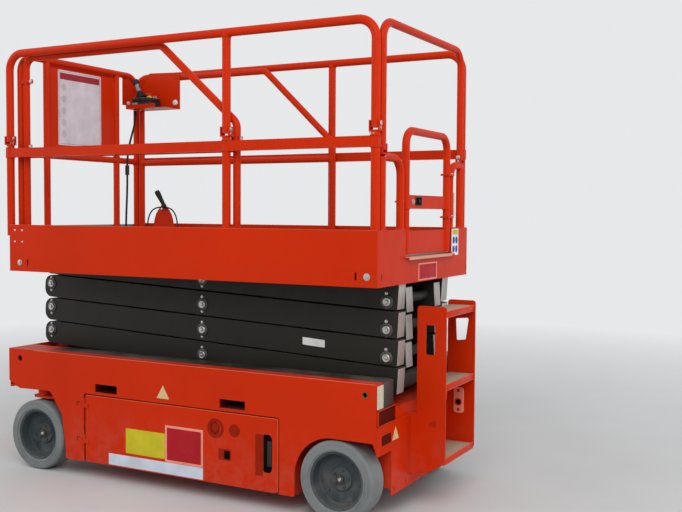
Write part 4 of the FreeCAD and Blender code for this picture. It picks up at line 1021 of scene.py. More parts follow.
class LIFT_OT_tray_fittings(bpy.types.Operator):
    """Cases, posts and links of the batteries, and the motor, valves and tank of the pump unit"""

    bl_idname = "lift.tray_fittings"
    bl_label = "Battery and pump fittings"

    cells = 4

    def execute(self, context):
        self.batteries()
        self.pump()
        return {"FINISHED"}

    def batteries(self):
        low, high = node_box("battery_pack")
        face, top, foot = low.y, high.z, low.z + 0.006
        pack = Piece("battery_cases", "chassis", "battery_case", "battery_plastic")
        wide = (high.x - low.x) / self.cells
        plug = [(0.013, 0), (0.013, 0.007), (0.010, 0.009), (0, 0.009)]
        post = [(0.010, 0), (0.010, 0.002), (0.007, 0.003), (0.0065, 0.014), (0, 0.0145)]
        for cell in range(self.cells):
            x0, x1 = low.x + cell * wide + 0.004, low.x + (cell + 1) * wide - 0.004
            pack.add(slab((x0, face - 0.004, foot), (x1, face + 0.010, top - 0.034), 0.004, 3))
            lid = [(x0 - 0.002, face - 0.007, top - 0.032), (x1 + 0.002, face + 0.110, top + 0.004)]
            pack.add(slab(*lid, 0.004, 3), "grey_plastic")
            for rib in range(5):
                x = x0 + 0.014 + rib * (x1 - x0 - 0.028) / 4
                bars = [(x - 0.003, face - 0.0065, foot + 0.012), (x + 0.003, face, top - 0.044)]
                pack.add(slab(*bars, 0.0015))
            for step in range(3):
                spot = (x0 + 0.032 + step * (x1 - x0 - 0.064) / 2, face + 0.070, top + 0.0035)
                pack.add(turned(plug, spot, UP, 24), "label_yellow")
            for colour, x in (("signal_red", x0 + 0.018), ("black_plastic", x1 - 0.018)):
                spot = (x, face + 0.020, top + 0.0035)
                pack.add(turned(post, spot, UP, 20), "zinc")
                pack.add(ring(spot, UP, 0.0105, 0.014, 0.002), colour)
            if cell < self.cells - 1:
                link = [(x1 - 0.024, face + 0.012, top + 0.015), (x1 + 0.032, face + 0.028, top + 0.018)]
                pack.add(slab(*link, 0.001), "zinc")
        pack.done()

    def pump(self):
        low, high = node_box("pump_unit")
        face, foot = high.y, low.z
        pump = Piece("pump_parts", "chassis", "battery_case", "zinc")
        motor = Vector((low.x + 0.040, face - 0.026, foot + 0.150))
        can = [(0, 0), (0.030, 0), (0.034, 0.004), (0.034, 0.016), (0.037, 0.018), (0.037, 0.150),
               (0.034, 0.152), (0.034, 0.168), (0.026, 0.174), (0.018, 0.174), (0.018, 0.192), (0, 0.192)]
        pump.add(turned(can, motor, AHEAD, 40), "dark_steel")
        strap = [(0.0368, 0), (0.0385, 0), (0.0385, 0.012), (0.0368, 0.012), (0.0368, 0)]
        for along in (0.045, 0.120):
            pump.add(turned(strap, motor + AHEAD * along, AHEAD, 40))
        block = low.x + 0.236
        valves = [(block, face - 0.006, foot + 0.085), (block + 0.130, face + 0.010, foot + 0.195)]
        pump.add(slab(*valves, 0.002))
        coil = [(0.0135, 0), (0.0135, 0.036), (0.0115, 0.038), (0.006, 0.038), (0.006, 0.045), (0, 0.046)]
        for step in range(3):
            x = block + 0.024 + step * 0.041
            pump.add(turned(coil, (x, face - 0.002, foot + 0.194), UP, 28), "black_plastic")
            for z in (0.110, 0.160):
                pump.add(bolt((x, face + 0.0095, foot + z), LEFT, 0.009, 0.009))
        tank = low.x + 0.430
        body = [(tank, face - 0.010, foot + 0.020), (tank + 0.300, face + 0.009, foot + 0.235)]
        pump.add(slab(*body, 0.008, 3), "grey_plastic")
        for step in range(3):
            x = tank + 0.060 + step * 0.090
            rib = [(x - 0.004, face + 0.006, foot + 0.034), (x + 0.004, face + 0.0115, foot + 0.190)]
            pump.add(slab(*rib, 0.002), "grey_plastic")
        spot = (tank + 0.255, face + 0.0085, foot + 0.190)
        filler = [(0.019, 0), (0.019, 0.008), (0.016, 0.010), (0, 0.010)]
        pump.add(turned(filler, spot, LEFT, 28), "black_plastic")
        y = face + 0.006
        for z0, z1 in ((foot + 0.105, foot + 0.060), (foot + 0.180, foot + 0.205)):
            pipe = [(block + 0.128, y, z0), (block + 0.150, y, z0), (block + 0.162, y, (z0 + z1) / 2),
                    (tank - 0.020, y, z1), (tank + 0.004, y, z1)]
            pump.add(wire(pipe, 0.0048))
        bend = motor + AHEAD * 0.190 + LEFT * 0.010
        pump.add(wire([motor + AHEAD * 0.188, bend, (block + 0.002, face + 0.004, motor.z)], 0.0060))
        pump.done()


class LIFT_OT_rail_fittings(bpy.types.Operator):
    """Hinge bolts, locking pins, weld beads and skirt bolts on the platform and its extension"""

    bl_idname = "lift.rail_fittings"
    bl_label = "Rail fittings"

    fold_high, inner_fold, rear_fold = 1.825, 1.780, 1.725
    posts, inner_posts = (0.027, 0.830, 2.284), (0.800, 2.206)
    rail_tube, rear_line, lock_drop = 0.021, 0.487, 0.021
    front_line, front_posts, front_feet = 2.250, 0.487, 0.295
    deck_top, inner_deck_top, skirt_top = 1.2146, 1.2195, 1.3462

    def execute(self, context):
        self.main_rails()
        self.extension_rails()
        self.deck_tread()
        self.hoop_beads()
        self.skirts()
        return {"FINISHED"}

    def hinge(self, piece, place, axis, tube, drop=0.0):
        """A hinge bolt through two ears, with a locking pin below it."""
        reach = tube + 0.0055
        for out in (axis, -axis):
            end = Vector(place) + out * reach
            piece.add(stud(end, out, 0, 0.0016, 0.0115, 20, 0.0004))
            piece.add(stud(end, out, 0.0016, 0.006 - drop, 0.0082, 6, 0.0008))
            piece.add(stud(end - UP * self.lock_drop, out, -0.002, 0.0022 - drop * 0.5, 0.0058, 16, 0.0006))

    def lanyard(self, piece, place, axis, reach, side):
        """A pull ring through a locking pin and the thin wire that keeps it on its post."""
        place, side = Vector(place), Vector(side)
        pin = place - UP * self.lock_drop + axis * reach
        across = axis.cross(UP).normalized() * 0.009
        marks = []
        for step in range(10):
            angle = step * math.tau / 10
            marks.append(pin + across * math.sin(angle) - UP * 0.010 * (1 - math.cos(angle)))
        piece.add(wire(marks, 0.0011, True))
        slack = UP * -0.060
        post = place - UP * 0.046 + side
        line = [pin, pin + slack * 0.6, (pin + post) / 2 + slack, post + slack * 0.5, post]
        piece.add(wire(line, 0.0010), "soft_black")
        piece.add(stud(post, side, -0.15, 0.12, 0.0036, 12, 0.0006))

    def main_rails(self):
        rails = Piece("rail_bolts", "platform", "bright_steel", "zinc")
        for x in self.posts:
            self.hinge(rails, (x, RAIL_LINE, self.fold_high), AHEAD, self.rail_tube, 0.0025)
            for y, z, turn in ((RAIL_LINE, 1.7705, 1), (RAIL_LINE, 1.7195, -1), (-RAIL_LINE, 1.7195, -1)):
                rails.add(bead((x, y, z), UP * turn, self.rail_tube), "red_enamel")
        for x, turn in ((self.posts[0], 1), (self.posts[2], -1)):
            self.lanyard(rails, (x, RAIL_LINE, self.fold_high), AHEAD * turn, 0.0285, (0, 0.020, 0))
        for side in (1, -1):
            place = (GATE_LINE, side * self.rear_line, self.rear_fold)
            self.hinge(rails, place, LEFT, HOOP_TUBE, 0.0035)
            self.lanyard(rails, place, LEFT * -side, 0.0255, (-0.018, 0, 0))
        for y in (self.rear_line, 0.284, -0.344, -self.rear_line):
            rails.add(bead((GATE_LINE, y, self.skirt_top), UP, HOOP_TUBE, 0.005), "red_enamel")
        rails.done()

    def extension_rails(self):
        rails = Piece("extension_bolts", "extension", "bright_steel", "zinc")
        for x in self.inner_posts:
            self.hinge(rails, (x, HOOP_LINE, self.inner_fold), AHEAD, HOOP_TUBE)
        self.lanyard(rails, (self.inner_posts[0], HOOP_LINE, self.inner_fold), AHEAD, 0.0265, (0, -0.019, 0))
        for side in (1, -1):
            feet = [(x, side * HOOP_LINE) for x in self.inner_posts]
            for y, z, turn in ((self.front_posts, 1.7265, -1), (self.front_feet, 1.764, 1)):
                feet.append((self.front_line, side * y))
                rails.add(bead((self.front_line, side * y, z), UP * turn, HOOP_TUBE), "red_enamel")
            for x, y in feet:
                rails.add(bead((x, y, self.inner_deck_top), UP, HOOP_TUBE, 0.005), "red_enamel")
        rails.done()
        clamp = Piece("hoop_clamp", "extension_hoop", "red_paint", "red_enamel")
        x, y, z = self.inner_posts[1], HOOP_LINE, 2.139
        collar = [(0.0188, -0.013), (0.0235, -0.013), (0.0245, -0.011), (0.0245, 0.011), (0.0235, 0.013),
                  (0.0188, 0.013), (0.0188, -0.013)]
        clamp.add(turned(collar, (x, y, z), UP))
        clamp.add(slab((x - 0.046, y - 0.0045, z - 0.012), (x - 0.020, y + 0.0045, z + 0.012), 0.002))
        for side in (1, -1):
            clamp.add(bolt((x - 0.036, y + side * 0.0045, z), LEFT * side, 0.0078, 0.006), "zinc")
        clamp.done()

    def deck_tread(self):
        """Metal sheet on the platform's deck behind the extension, with its rivets."""
        tread = Piece("deck_tread", "platform", "deck_plate", "deck_sheet")
        reach = node_box("extension_deck")[0].x - 0.004
        tread.add(slab((0.045, -0.505, self.deck_top), (reach, 0.505, self.deck_top + 0.0022), 0.0010))
        rivet = [(0.009, 0), (0.0075, 0.0018), (0, 0.0026)]
        for x in (0.075, reach - 0.030):
            for y in (-0.470, 0.0, 0.470):
                tread.add(turned(rivet, (x, y, self.deck_top + 0.0020), UP, 20), "zinc")
        tread.done()

    def hoop_beads(self):
        hoop = Piece("hoop_beads", "platform", "red_paint", "red_enamel")
        for side in (1, -1):
            hoop.add(bead((self.posts[1], side * RAIL_LINE, 2.2685), -UP, self.rail_tube))
        hoop.done()

    def skirts(self):
        skirt = Piece("skirt_fittings", "platform", "red_paint", "zinc")
        screw = [(0.0062, 0), (0.0062, 0.001), (0.0045, 0.0028), (0, 0.0034)]
        for side in (1, -1):
            face = side * (PLATE_FACE - 0.0001)
            out = LEFT * side
            for x in (0.053, 2.193):
                skirt.add(stud((x, face, 1.139), out, 0, 0.0022, 0.0165, 28, 0.0006))
                skirt.add(stud((x, face, 1.139), out, 0.0022, 0.0062, 0.0105, 6, 0.0009))
            # Painted shade: near-black plates behind the skirt's slots.
            for x in (0.110, 2.136):
                slot = [(x - 0.012, side * 0.5490, 1.118), (x + 0.012, side * 0.5548, 1.184)]
                skirt.add(slab(*slot, 0.001), "recess_shade_black")
            for x in (2.230, 2.174):
                for z in (1.317, 1.254):
                    skirt.add(turned(screw, (x, face, z), out, 20))
            # Painted highlight: a brighter strip along the skirt's top edge.
            edge = [(0.001, side * 0.5552, 1.3452), (2.269, side * 0.5598, 1.3482)]
            skirt.add(slab(*edge, 0.0012), "highlight_red")
        # Painted shade: near-black plates in two slots in the rear face.
        for y, z in ((0.515, 1.137), (-0.548, 1.133)):
            slot = [(-0.0007, y - 0.0028, z - 0.013), (0.001, y + 0.0028, z + 0.013)]
            skirt.add(slab(*slot, 0.0006), "recess_shade_black")
        skirt.done()


class LIFT_OT_gate(bpy.types.Operator):
    """Latch, folded lips and label places of the entry gate and the rear plate"""

    bl_idname = "lift.gate"
    bl_label = "Entry gate and rear plate"

    spring_y, spring_low, spring_high = -0.393, 1.411, 1.533
    post_y, back, deck_top = -0.326, 0.015, 1.2168

    def execute(self, context):
        self.gate()
        self.rear_plate()
        return {"FINISHED"}

    def gate(self):
        gate = Piece("gate_latch", "entry_gate", "red_paint", "red_enamel")
        back = self.back
        # Painted highlights: brighter strips on the gate's folded lips.
        for reach, z in ((0.036, 1.5085), (0.032, 1.3375)):
            gate.add(slab((back, -0.279, z), (reach, 0.204, z + 0.0035), 0.0012), "highlight_red")
        cover = label("x", (0.036, 1.461, 0.114, 1.505), 0.005, back - 0.0022, back + 0.0005, 0.0007)
        gate.add(cover, "black_plastic")
        # Painted shade: a near-black plate in the latch cover's recess.
        gate.add(label("x", (0.043, 1.466, 0.107, 1.500), 0.004, back - 0.0026, back - 0.0018), "recess_shade_black")
        gate.add(slab((back - 0.010, 0.070, 1.474), (back - 0.0022, 0.084, 1.492), 0.0025), "black_plastic")
        gate.add(bolt((back + 0.0002, 0.140, 1.481), -AHEAD, 0.0095, 0.006), "zinc")
        gate.add(slab((0.0215, 0.050, 1.4665), (0.034, 0.206, 1.4895), 0.002), "zinc")
        for y in (-0.298, 0.223):
            gate.add(bead((GATE_LINE, y, 1.4465), -UP, HOOP_TUBE))
        gate.done()

    def rear_plate(self):
        wall = sizes().label_wall
        rear = Piece("rear_plate_trim", "platform", "red_paint", "pale_lip")
        signs = [
            ("label_white", (-0.429, 1.204, -0.333, 1.344), 0.003, 1),
            ("label_yellow", (-0.421, 1.313, -0.341, 1.338), 0.010, 2),
            ("label_salmon", (-0.133, 1.096, 0.103, 1.181), 0.003, 1),
            ("label_red", (-0.122, 1.103, 0.092, 1.174), 0.002, 2),
        ]
        for y in (-0.401, -0.361):
            for z in (1.283, 1.236):
                signs.append(("label_blue", (y - 0.016, z - 0.019, y + 0.016, z + 0.019), 0.0155, 2))
        for finish, corners, radius, layer in signs:
            rear.add(label("x", corners, radius, -wall * (0.5 + layer * 0.25), 0.0002), finish)
        # A lip along the deck's rear edge, with a bent end, in a peach paler than the body red.
        rear.add(slab((-0.0245, -0.284, 1.2035), (-0.0185, 0.256, self.deck_top - 0.0003), 0.0016))
        rear.add(slab((-0.0235, -0.284, 1.2140), (0.012, 0.256, self.deck_top), 0.0010))
        end = [(-0.021, -0.282, 1.211), (-0.018, -0.300, 1.213), (-0.008, -0.318, 1.219),
               (-0.002, self.post_y, 1.226)]
        rear.add(wire(end, 0.0042))
        for z in (1.4102, 1.6302):
            rear.add(bolt((0, self.post_y, z), UP, 0.0058, 0.004), "zinc")
        self.spring(rear)
        rear.done()

    def spring(self, piece):
        """The spring that shuts the gate, with the hooks that hold it to its post."""
        turns, coil_radius, steps, rise = 15, 0.0080, 6, 0.00137
        marks = []
        for step in range(turns * steps):
            angle = step * math.tau / steps
            across, along = coil_radius * math.cos(angle), coil_radius * math.sin(angle)
            marks.append((GATE_LINE + across, self.spring_y + along, self.spring_low + step * rise))
        piece.add(wire(marks, 0.0020, False, 2), "zinc")
        for z, up in ((self.spring_low, -1), (self.spring_high, 1)):
            end = z + up * 0.018
            hook = [(GATE_LINE, self.spring_y, z), (GATE_LINE, self.spring_y, z + up * 0.008),
                    (GATE_LINE, -0.380, z + up * 0.016), (GATE_LINE, -0.360, end)]
            piece.add(wire(hook, 0.0013), "zinc")
            piece.add(slab((0.014, -0.363, end - 0.004), (0.022, -0.350, end + 0.004), 0.0012), "red_enamel")


class LIFT_OT_control_station(bpy.types.Operator):
    """Control box with its lever, knobs and stop button, the sign on the front panel, and the deck lock"""

    bl_idname = "lift.control_station"
    bl_label = "Control station"

    box_low, box_high = (2.016, -0.442, 2.0703), (2.164, -0.338, 2.140)
    shelf_face, shelf_foot, lever_tilt = -0.4622, 2.0662, math.radians(24)
    lever_base, cable_place, lock_place = (2.124, -0.390, 2.138), (2.178, -0.392), (1.996, -0.446)
    sign_ends, sign_heights = (-0.147, 0.199), (1.818, 2.244)

    def execute(self, context):
        self.box()
        self.lever()
        self.shelf()
        self.panel_sign()
        self.deck_lock()
        return {"FINISHED"}

    def box(self):
        box = Piece("control_box_shell", "extension", "black_plastic", "black_plastic")
        (x0, y0, z0), (x1, y1, z1) = self.box_low, self.box_high
        lid = z1 - 0.004
        box.add(slab((x0, y0, z0), (x1, y1, z0 + 0.042), 0.007, 3))
        seam = [(x0 + 0.002, y0 + 0.002, z0 + 0.040), (x1 - 0.002, y1 - 0.002, z0 + 0.0435)]
        box.add(slab(*seam, 0.001), "soft_black")
        box.add(slab((x0, y0, z0 + 0.043), (x1, y1, lid), 0.008, 3))
        for x in (x0 + 0.012, x1 - 0.012):
            for y in (y0 + 0.012, y1 - 0.012):
                box.add(stud((x, y, lid), UP, -0.0005, 0.0012, 0.0042, 16, 0.0005), "zinc")
        for step in range(5):
            y = y0 + 0.020 + step * 0.016
            box.add(slab((x0 - 0.0012, y, z0 + 0.010), (x0 + 0.002, y + 0.006, z0 + 0.032), 0.0008))
        button = (x0 + 0.026, -0.366, lid)
        guard = [(0.019, 0), (0.019, 0.004), (0.016, 0.006), (0.011, 0.006), (0.011, 0.012)]
        mushroom = [(0.0105, 0.006), (0.0105, 0.013), (0.017, 0.015), (0.0185, 0.019), (0.016, 0.0235),
                    (0.008, 0.026), (0, 0.0265)]
        switch = [(0.0075, 0), (0.0075, 0.003), (0.004, 0.005), (0.0022, 0.006), (0.0028, 0.016), (0, 0.018)]
        box.add(turned(guard, button, UP, 28), "label_yellow")
        box.add(turned(mushroom, button, UP, 32), "signal_red")
        for y in (-0.424, -0.402):
            box.add(turned(switch, (x0 + 0.022, y, lid), UP, 18), "zinc")
        top = (x0 + 0.048, -0.436, x0 + 0.078, -0.345)
        box.add(label("z", top, 0.003, lid - 0.0006, lid + 0.0006, 0.0003), "grey_plastic")
        near = (x1 - 0.050, z0 + 0.008, x1 - 0.008, z0 + 0.036)
        box.add(label("y", near, 0.002, y1 - 0.0004, y1 + 0.0010, 0.0003), "grey_plastic")
        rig.replaces(box.done(), "control_box")

    def lever(self):
        """The drive lever, tilted forward in its folded boot."""
        base = Vector(self.lever_base)
        along = Vector((math.sin(self.lever_tilt), 0, math.cos(self.lever_tilt)))
        lever = Piece("lever_grip", "extension", "black_plastic", "soft_black")
        collar = [(0.038, 0), (0.038, 0.004), (0.034, 0.006), (0.030, 0.004), (0.031, 0.001)]
        lever.add(turned(collar, base, UP, 36), "black_plastic")
        folds = [(0.0335, 0.002)]
        for step, radius in enumerate((0.0345, 0.0315, 0.0280, 0.0240, 0.0200)):
            high = 0.005 + step * 0.0078
            folds += [(radius, high), (radius, high + 0.0028), (radius - 0.0042, high + 0.0052)]
        folds += [(0.0135, 0.046), (0.0125, 0.050), (0.010, 0.050)]
        lever.add(turned(folds, base, along, 36))
        stick = [(0.0095, 0.040), (0.0105, 0.052), (0.0135, 0.060), (0.0142, 0.080), (0.0132, 0.094),
                 (0.0125, 0.100)]
        lever.add(turned(stick, base, along, 28), "grey_plastic")
        cap = [(0.0128, 0.097), (0.0185, 0.100), (0.0205, 0.106), (0.0205, 0.122), (0.0180, 0.128),
               (0.0120, 0.1305), (0, 0.1312)]
        lever.add(turned(cap, base, along, 32), "black_plastic")
        trigger = base + along * 0.074 + along.cross(LEFT) * 0.0130
        lever.add(stud(trigger, along, -0.010, 0.011, 0.0042, 16, 0.0012), "black_plastic")
        button = [(0.0065, 0), (0.0065, 0.0015), (0.004, 0.0028), (0, 0.003)]
        lever.add(turned(button, base + along * 0.1308, along, 20), "signal_red")
        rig.replaces(lever.done(), "control_lever")

    def shelf(self):
        shelf = Piece("shelf_trim", "extension", "red_paint", "red_enamel")
        shelf.add(bar((1.962, -0.3185, 2.0885), (2.189, -0.3185, 2.0885), 0.0042, 18, 0.001))
        knob = [(0.017, 0), (0.0185, 0.004), (0.0170, 0.010), (0.011, 0.014), (0, 0.0155)]
        shelf.add(turned(knob, (1.912, self.shelf_face, 2.108), LEFT), "white_knob")
        for x in (1.905, 2.160):
            shelf.add(bolt((x, self.shelf_face, 2.262), LEFT, 0.005, 0.003))
        for x in (2.035, 2.135):
            shelf.add(bolt((x, self.lever_base[1], self.shelf_foot), -UP, 0.006, 0.005), "zinc")
        gland = (*self.cable_place, self.shelf_foot)
        shelf.add(stud(gland, -UP, 0, 0.006, 0.0125, 6, 0.0008), "grey_plastic")
        shelf.done()

    def panel_sign(self):
        wall, face, line = sizes().label_wall, SHEET_FACE, 0.0016
        sign = Piece("panel_sign", "extension", "red_paint", "sign_face")
        sign.add(label("x", (-0.154, 1.812, 0.206, 2.250), 0.004, face - wall, face + 0.0003, 0.0003))
        band = label("x", (-0.140, 2.196, 0.192, 2.234), 0.002, face - wall * 1.3, face - wall * 0.5)
        sign.add(band, "label_maroon")
        y0, z0, y1, z1 = -0.146, 1.820, 0.198, 2.242
        for low_y, low_z, high_y, high_z in ((y0, z0, y1, z0 + line), (y0, z1 - line, y1, z1),
                                             (y0, z0, y0 + line, z1), (y1 - line, z0, y1, z1)):
            border = slab((face - wall * 1.2, low_y, low_z), (face - wall * 0.5, high_y, high_z))
            sign.add(border, "label_maroon")
        for step in range(5):
            z = 2.150 - step * 0.068
            spot = (0.140, z - 0.021, 0.182, z + 0.021)
            sign.add(label("x", spot, 0.0205, face - wall * 1.25, face - wall * 0.5, 0), "label_grey")
        rivet = [(0.0042, 0), (0.0035, 0.0014), (0, 0.0020)]
        for y in self.sign_ends:
            for z in self.sign_heights:
                sign.add(turned(rivet, (face - wall, y, z), -AHEAD, 16), "zinc")
        for side in (1, -1):
            for z in (1.790, 2.020, 2.244):
                sign.add(bolt((face, side * 0.268, z), -AHEAD, 0.0052, 0.003), "red_enamel")
        corner = [(-0.353, 2.100), (-0.470, 2.100), (-0.470, 2.200), (-0.462, 2.228), (-0.447, 2.249),
                  (-0.427, 2.263), (-0.398, 2.270), (-0.353, 2.270)]
        sign.add(plate(corner, "x", face, face + 0.003, 0.0006), "red_enamel")
        knob = [(0.011, 0), (0.0125, 0.003), (0.0115, 0.009), (0.006, 0.012), (0, 0.0125)]
        sign.add(turned(knob, (face, -0.404, 2.114), -AHEAD, 28), "white_knob")
        sign.done()

    def deck_lock(self):
        """The deck's lock: a bell-shaped bracket with a leaning grip and its two springy rods."""
        lock = Piece("deck_lock", "extension", "red_paint", "red_enamel")
        x, y = self.lock_place
        half = [(0.080, 1.2198), (0.080, 1.330), (0.074, 1.372), (0.060, 1.410), (0.042, 1.436),
                (0.026, 1.450), (0.020, 1.462), (0.014, 1.474)]
        bell = [(x + u, z) for u, z in half] + [(x - u, z) for u, z in reversed(half)]
        lock.add(plate(bell, "y", y - 0.003, y + 0.003, 0.0008))
        lock.add(slab((x - 0.090, y - 0.020, 1.2196), (x + 0.090, y + 0.020, 1.2246), 0.001))
        rod = [(0.008, 0.010, 1.452), (0.060, 0.012, 1.450), (0.104, 0.014, 1.410), (0.122, 0.014, 1.340),
               (0.126, 0.014, 1.2205)]
        for turn in (1, -1):
            lock.add(bolt((x + turn * 0.070, y + 0.011, 1.2246), UP, 0.0055, 0.004), "zinc")
            lock.add(wire([(x + turn * u, y + v, z) for u, v, z in rod], 0.0045), "soft_black")
        grip = [(0, -0.016), (0.012, -0.015), (0.014, -0.008), (0.0125, 0.012), (0.0135, 0.040),
                (0.0165, 0.078), (0.0175, 0.094), (0.0150, 0.106), (0.006, 0.111), (0, 0.1115)]
        lock.add(turned(grip, (x - 0.012, y + 0.012, 1.462), (0.060, 0, 0.094), 28), "soft_black")
        lock.add(stud((x, y, 1.440), LEFT, -0.008, 0.022, 0.008, 20, 0.001), "zinc")
        lock.done()


class LIFT_OT_ladder(bpy.types.Operator):
    """Grit strips, edges and tie-down plate on the ladder, and what shows on the chassis rear end"""

    bl_idname = "lift.ladder"
    bl_label = "Ladder and chassis rear"

    treads = ((0.258, -0.014), (0.612, -0.059), (0.960, -0.059))
    plate_face, plate_hole = -0.1862, (-0.104, 0.462)
    lower_edge, upper_edge, back = 0.464, 0.539, -0.006

    def execute(self, context):
        self.steps()
        self.chassis_rear()
        return {"FINISHED"}

    def steps(self):
        steps = Piece("ladder_trim", "chassis", "red_paint", "tread_grit")
        # Each tread's edge in red, with painted highlights: brighter strips along its top and bottom.
        edges = (
            (-0.1832, -0.1800, -0.0260, 0.0015, 0.0012, "red_enamel"),
            (-0.1836, -0.1770, 0.0012, 0.0040, 0.0012, "highlight_red"),
            (-0.1836, -0.1800, -0.0280, -0.0255, 0.0008, "highlight_red"),
        )
        for z, reach in self.treads:
            steps.add(slab((-0.174, -0.180, z - 0.0004), (reach, 0.180, z + 0.0022), 0.0008))
            for x0, x1, low, high, width, finish in edges:
                steps.add(slab((x0, -0.1905, z + low), (x1, 0.1905, z + high), width), finish)
        steps.add(label("y", (-0.132, 0.406, -0.078, 0.537), 0.014, -0.1922, -0.1860, 0.0012), "label_salmon")
        hole = (self.plate_hole[0], self.plate_face, self.plate_hole[1])
        steps.add(ring(hole, LEFT, 0.013, 0.019, 0.003), "red_enamel")
        # Painted shade: a near-black disc in the hole.
        steps.add(stud(hole, LEFT, -0.0002, 0.0010, 0.0132), "recess_shade_black")
        for z in (0.520, 0.423):
            steps.add(bolt((-0.105, self.plate_face, z), LEFT, 0.006, 0.004), "red_enamel")
        steps.done()

    def chassis_rear(self):
        end = Piece("chassis_rear_trim", "chassis", "red_paint", "red_enamel")
        foot, top, back, lip = self.lower_edge, self.upper_edge, self.back, 0.003
        for side in (1, -1):
            low, high = sorted((side * 0.493, side * 0.5560))
            end.add(label("x", (low, 0.542, high, 0.650), 0.004, -0.0032, -0.0006, 0.0006), "cream_plate")
            low, high = sorted((side * 0.364, side * 0.556))
            for y0, z0, y1, z1 in ((low, foot, high, foot + lip), (low, top - lip, high, top),
                                   (low, foot, low + lip, top), (high - lip, foot, high, top)):
                end.add(slab((-0.010, y0, z0), (-0.0004, y1, z1), 0.0008))
            recess = [(-0.0026, low + 0.004, foot + lip), (-0.0006, high - 0.004, top - lip)]
            end.add(slab(*recess, 0.0005), "shadow_red")
            low, high = sorted((side * 0.417, side * 0.515))
            end.add(label("x", (low, 0.371, high, 0.417), 0.006, back - 0.0008, back + 0.0003), "shadow_red")
            middle = side * 0.367
            sign = [(middle - 0.036, 0.374), (middle + 0.036, 0.374), (middle, 0.434)]
            proud = sizes().label_wall * 0.8
            end.add(plate(sign, "x", back - proud, back + 0.0003), "label_cream")
            for y, z in ((0.240, 0.430), (0.240, 0.150), (0.375, 0.150)):
                end.add(bolt((back, side * y, z), -AHEAD, 0.007, 0.004))
        end.done()


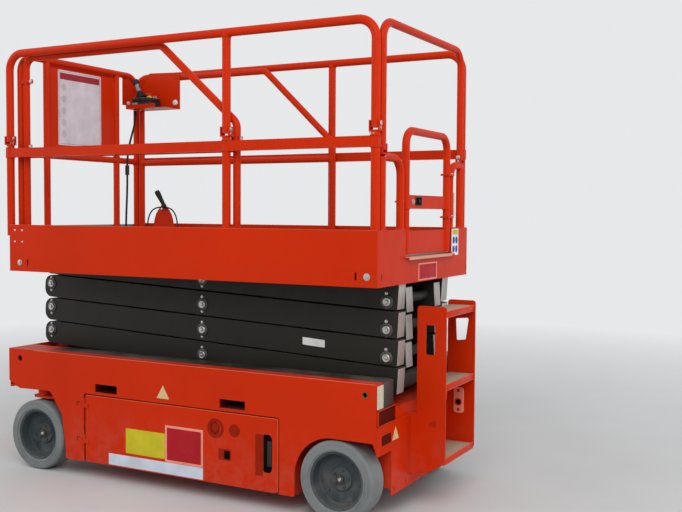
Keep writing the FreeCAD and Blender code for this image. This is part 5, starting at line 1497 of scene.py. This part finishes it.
class LIFT_OT_stage(bpy.types.Operator):
    """Pale floor and backdrop with soft light"""

    bl_idname = "lift.stage"
    bl_label = "Stage"

    backdrop = (0.80, 0.81, 0.82)
    lamps = (
        ("Key", (-3.5, 5.5, 5.5), 4.5, 260),
        ("Fill", (-6.5, -1.0, 4.0), 5.0, 120),
        ("Front", (6.0, 3.0, 4.0), 5.0, 110),
    )

    def execute(self, context):
        self.floor()
        self.lights()
        self.sky()
        bpy.context.scene.view_settings.view_transform = "Standard"
        return {"FINISHED"}

    def floor(self):
        made = Finish("stage_floor")
        tone = made.span(made.noise(0.8, 6), 0.3, 0.7)
        made.set(made.mix(tone, (0.60, 0.60, 0.59), (0.66, 0.66, 0.65)), 0.8)
        self.fade(made)
        bm = bmesh.new()
        bmesh.ops.create_grid(bm, x_segments=1, y_segments=1, size=40)
        mesh = bpy.data.meshes.new("stage_floor")
        bm.to_mesh(mesh)
        bm.free()
        mesh.materials.append(made.material)
        floor = bpy.data.objects.new("stage_floor", mesh)
        bpy.context.scene.collection.objects.link(floor)
        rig.stage(floor)

    def fade(self, made):
        """Lets the floor run into the backdrop's colour away from the lift."""
        far = made.node("ShaderNodeVectorMath", operation="LENGTH")
        made.join(made.place, far.inputs[0])
        path = made.node("ShaderNodeLightPath")
        seen = made.times(path.outputs["Is Camera Ray"], path.outputs["Is Glossy Ray"], "MAXIMUM")
        part = made.times(made.span(far.outputs["Value"], 2.2, 7.5), seen)
        glow = made.node("ShaderNodeEmission")
        made.feed(self.backdrop, glow.inputs["Color"])
        both = made.node("ShaderNodeMixShader")
        made.join(part, both.inputs[0])
        made.join(made.shader.outputs["BSDF"], both.inputs[1])
        made.join(glow.outputs["Emission"], both.inputs[2])
        made.join(both.outputs["Shader"], made.tree.nodes["Material Output"].inputs["Surface"])

    def lights(self):
        for name, place, size, energy in self.lamps:
            data = bpy.data.lights.new(name, "AREA")
            data.size = size
            data.energy = energy
            lamp = bpy.data.objects.new(name, data)
            lamp.location = place
            lamp.rotation_euler = (UP - Vector(place)).to_track_quat("-Z", "Y").to_euler()
            bpy.context.scene.collection.objects.link(lamp)

    def sky(self):
        """Cool light from all round, which the camera sees as the plain backdrop."""
        world = bpy.data.worlds.new("Studio")
        bpy.context.scene.world = world
        world.use_nodes = True
        world.node_tree.nodes.clear()
        made = Nodes(world.node_tree)
        path = made.node("ShaderNodeLightPath")
        glossy = made.times(path.outputs["Is Glossy Ray"], 0.5)
        mix = made.node("ShaderNodeMixShader")
        made.join(made.times(path.outputs["Is Camera Ray"], glossy, "MAXIMUM"), mix.inputs["Fac"])
        for socket, colour, strength in ((1, (0.93, 0.96, 1.0), 0.55), (2, self.backdrop, 1.0)):
            light = made.node("ShaderNodeBackground")
            made.feed(colour, light.inputs["Color"])
            made.feed(strength, light.inputs["Strength"])
            made.join(light.outputs["Background"], mix.inputs[socket])
        made.join(mix.outputs["Shader"], made.node("ShaderNodeOutputWorld").inputs["Surface"])


class LIFT_PT_panel(bpy.types.Panel):
    """Lists the lift's sizes, colours and operators in the sidebar"""

    bl_idname = "LIFT_PT_panel"
    bl_label = "Scissor Lift"
    bl_space_type = "VIEW_3D"
    bl_region_type = "UI"
    bl_category = "Scissor Lift"

    def draw(self, context):
        for group in (context.scene.lift_sizes, context.scene.lift_colours):
            for name in group.__annotations__:
                self.layout.prop(group, name)
        for operator in OPERATORS:
            self.layout.operator(operator.bl_idname)


OPERATORS = (
    LIFT_OT_camera,
    LIFT_OT_cable,
    LIFT_OT_node_finishes,
    LIFT_OT_wheel_fittings,
    LIFT_OT_arm_fittings,
    LIFT_OT_side_fittings,
    LIFT_OT_tray_fittings,
    LIFT_OT_rail_fittings,
    LIFT_OT_gate,
    LIFT_OT_control_station,
    LIFT_OT_ladder,
    LIFT_OT_stage,
)


def register():
    for item in (LiftSizes, LiftColours, *OPERATORS, LIFT_PT_panel):
        bpy.utils.register_class(item)
    bpy.types.Scene.lift_sizes = PointerProperty(type=LiftSizes)
    bpy.types.Scene.lift_colours = PointerProperty(type=LiftColours)


def unregister():
    del bpy.types.Scene.lift_colours
    del bpy.types.Scene.lift_sizes
    for item in (LIFT_PT_panel, *reversed(OPERATORS), LiftColours, LiftSizes):
        bpy.utils.unregister_class(item)


def main():
    register()
    make_finishes(bpy.context.scene.lift_colours)
    for operator in OPERATORS:
        group, name = operator.bl_idname.split(".")
        getattr(getattr(bpy.ops, group), name)()
    boxes = {"cad": CAD_BOX, "visual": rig.bounds()}
    plain = {name: [[float(number) for number in corner] for corner in box] for name, box in boxes.items()}
    with open("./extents.json", "w") as file:
        json.dump(plain, file)


if __name__ == "__main__":
    main()
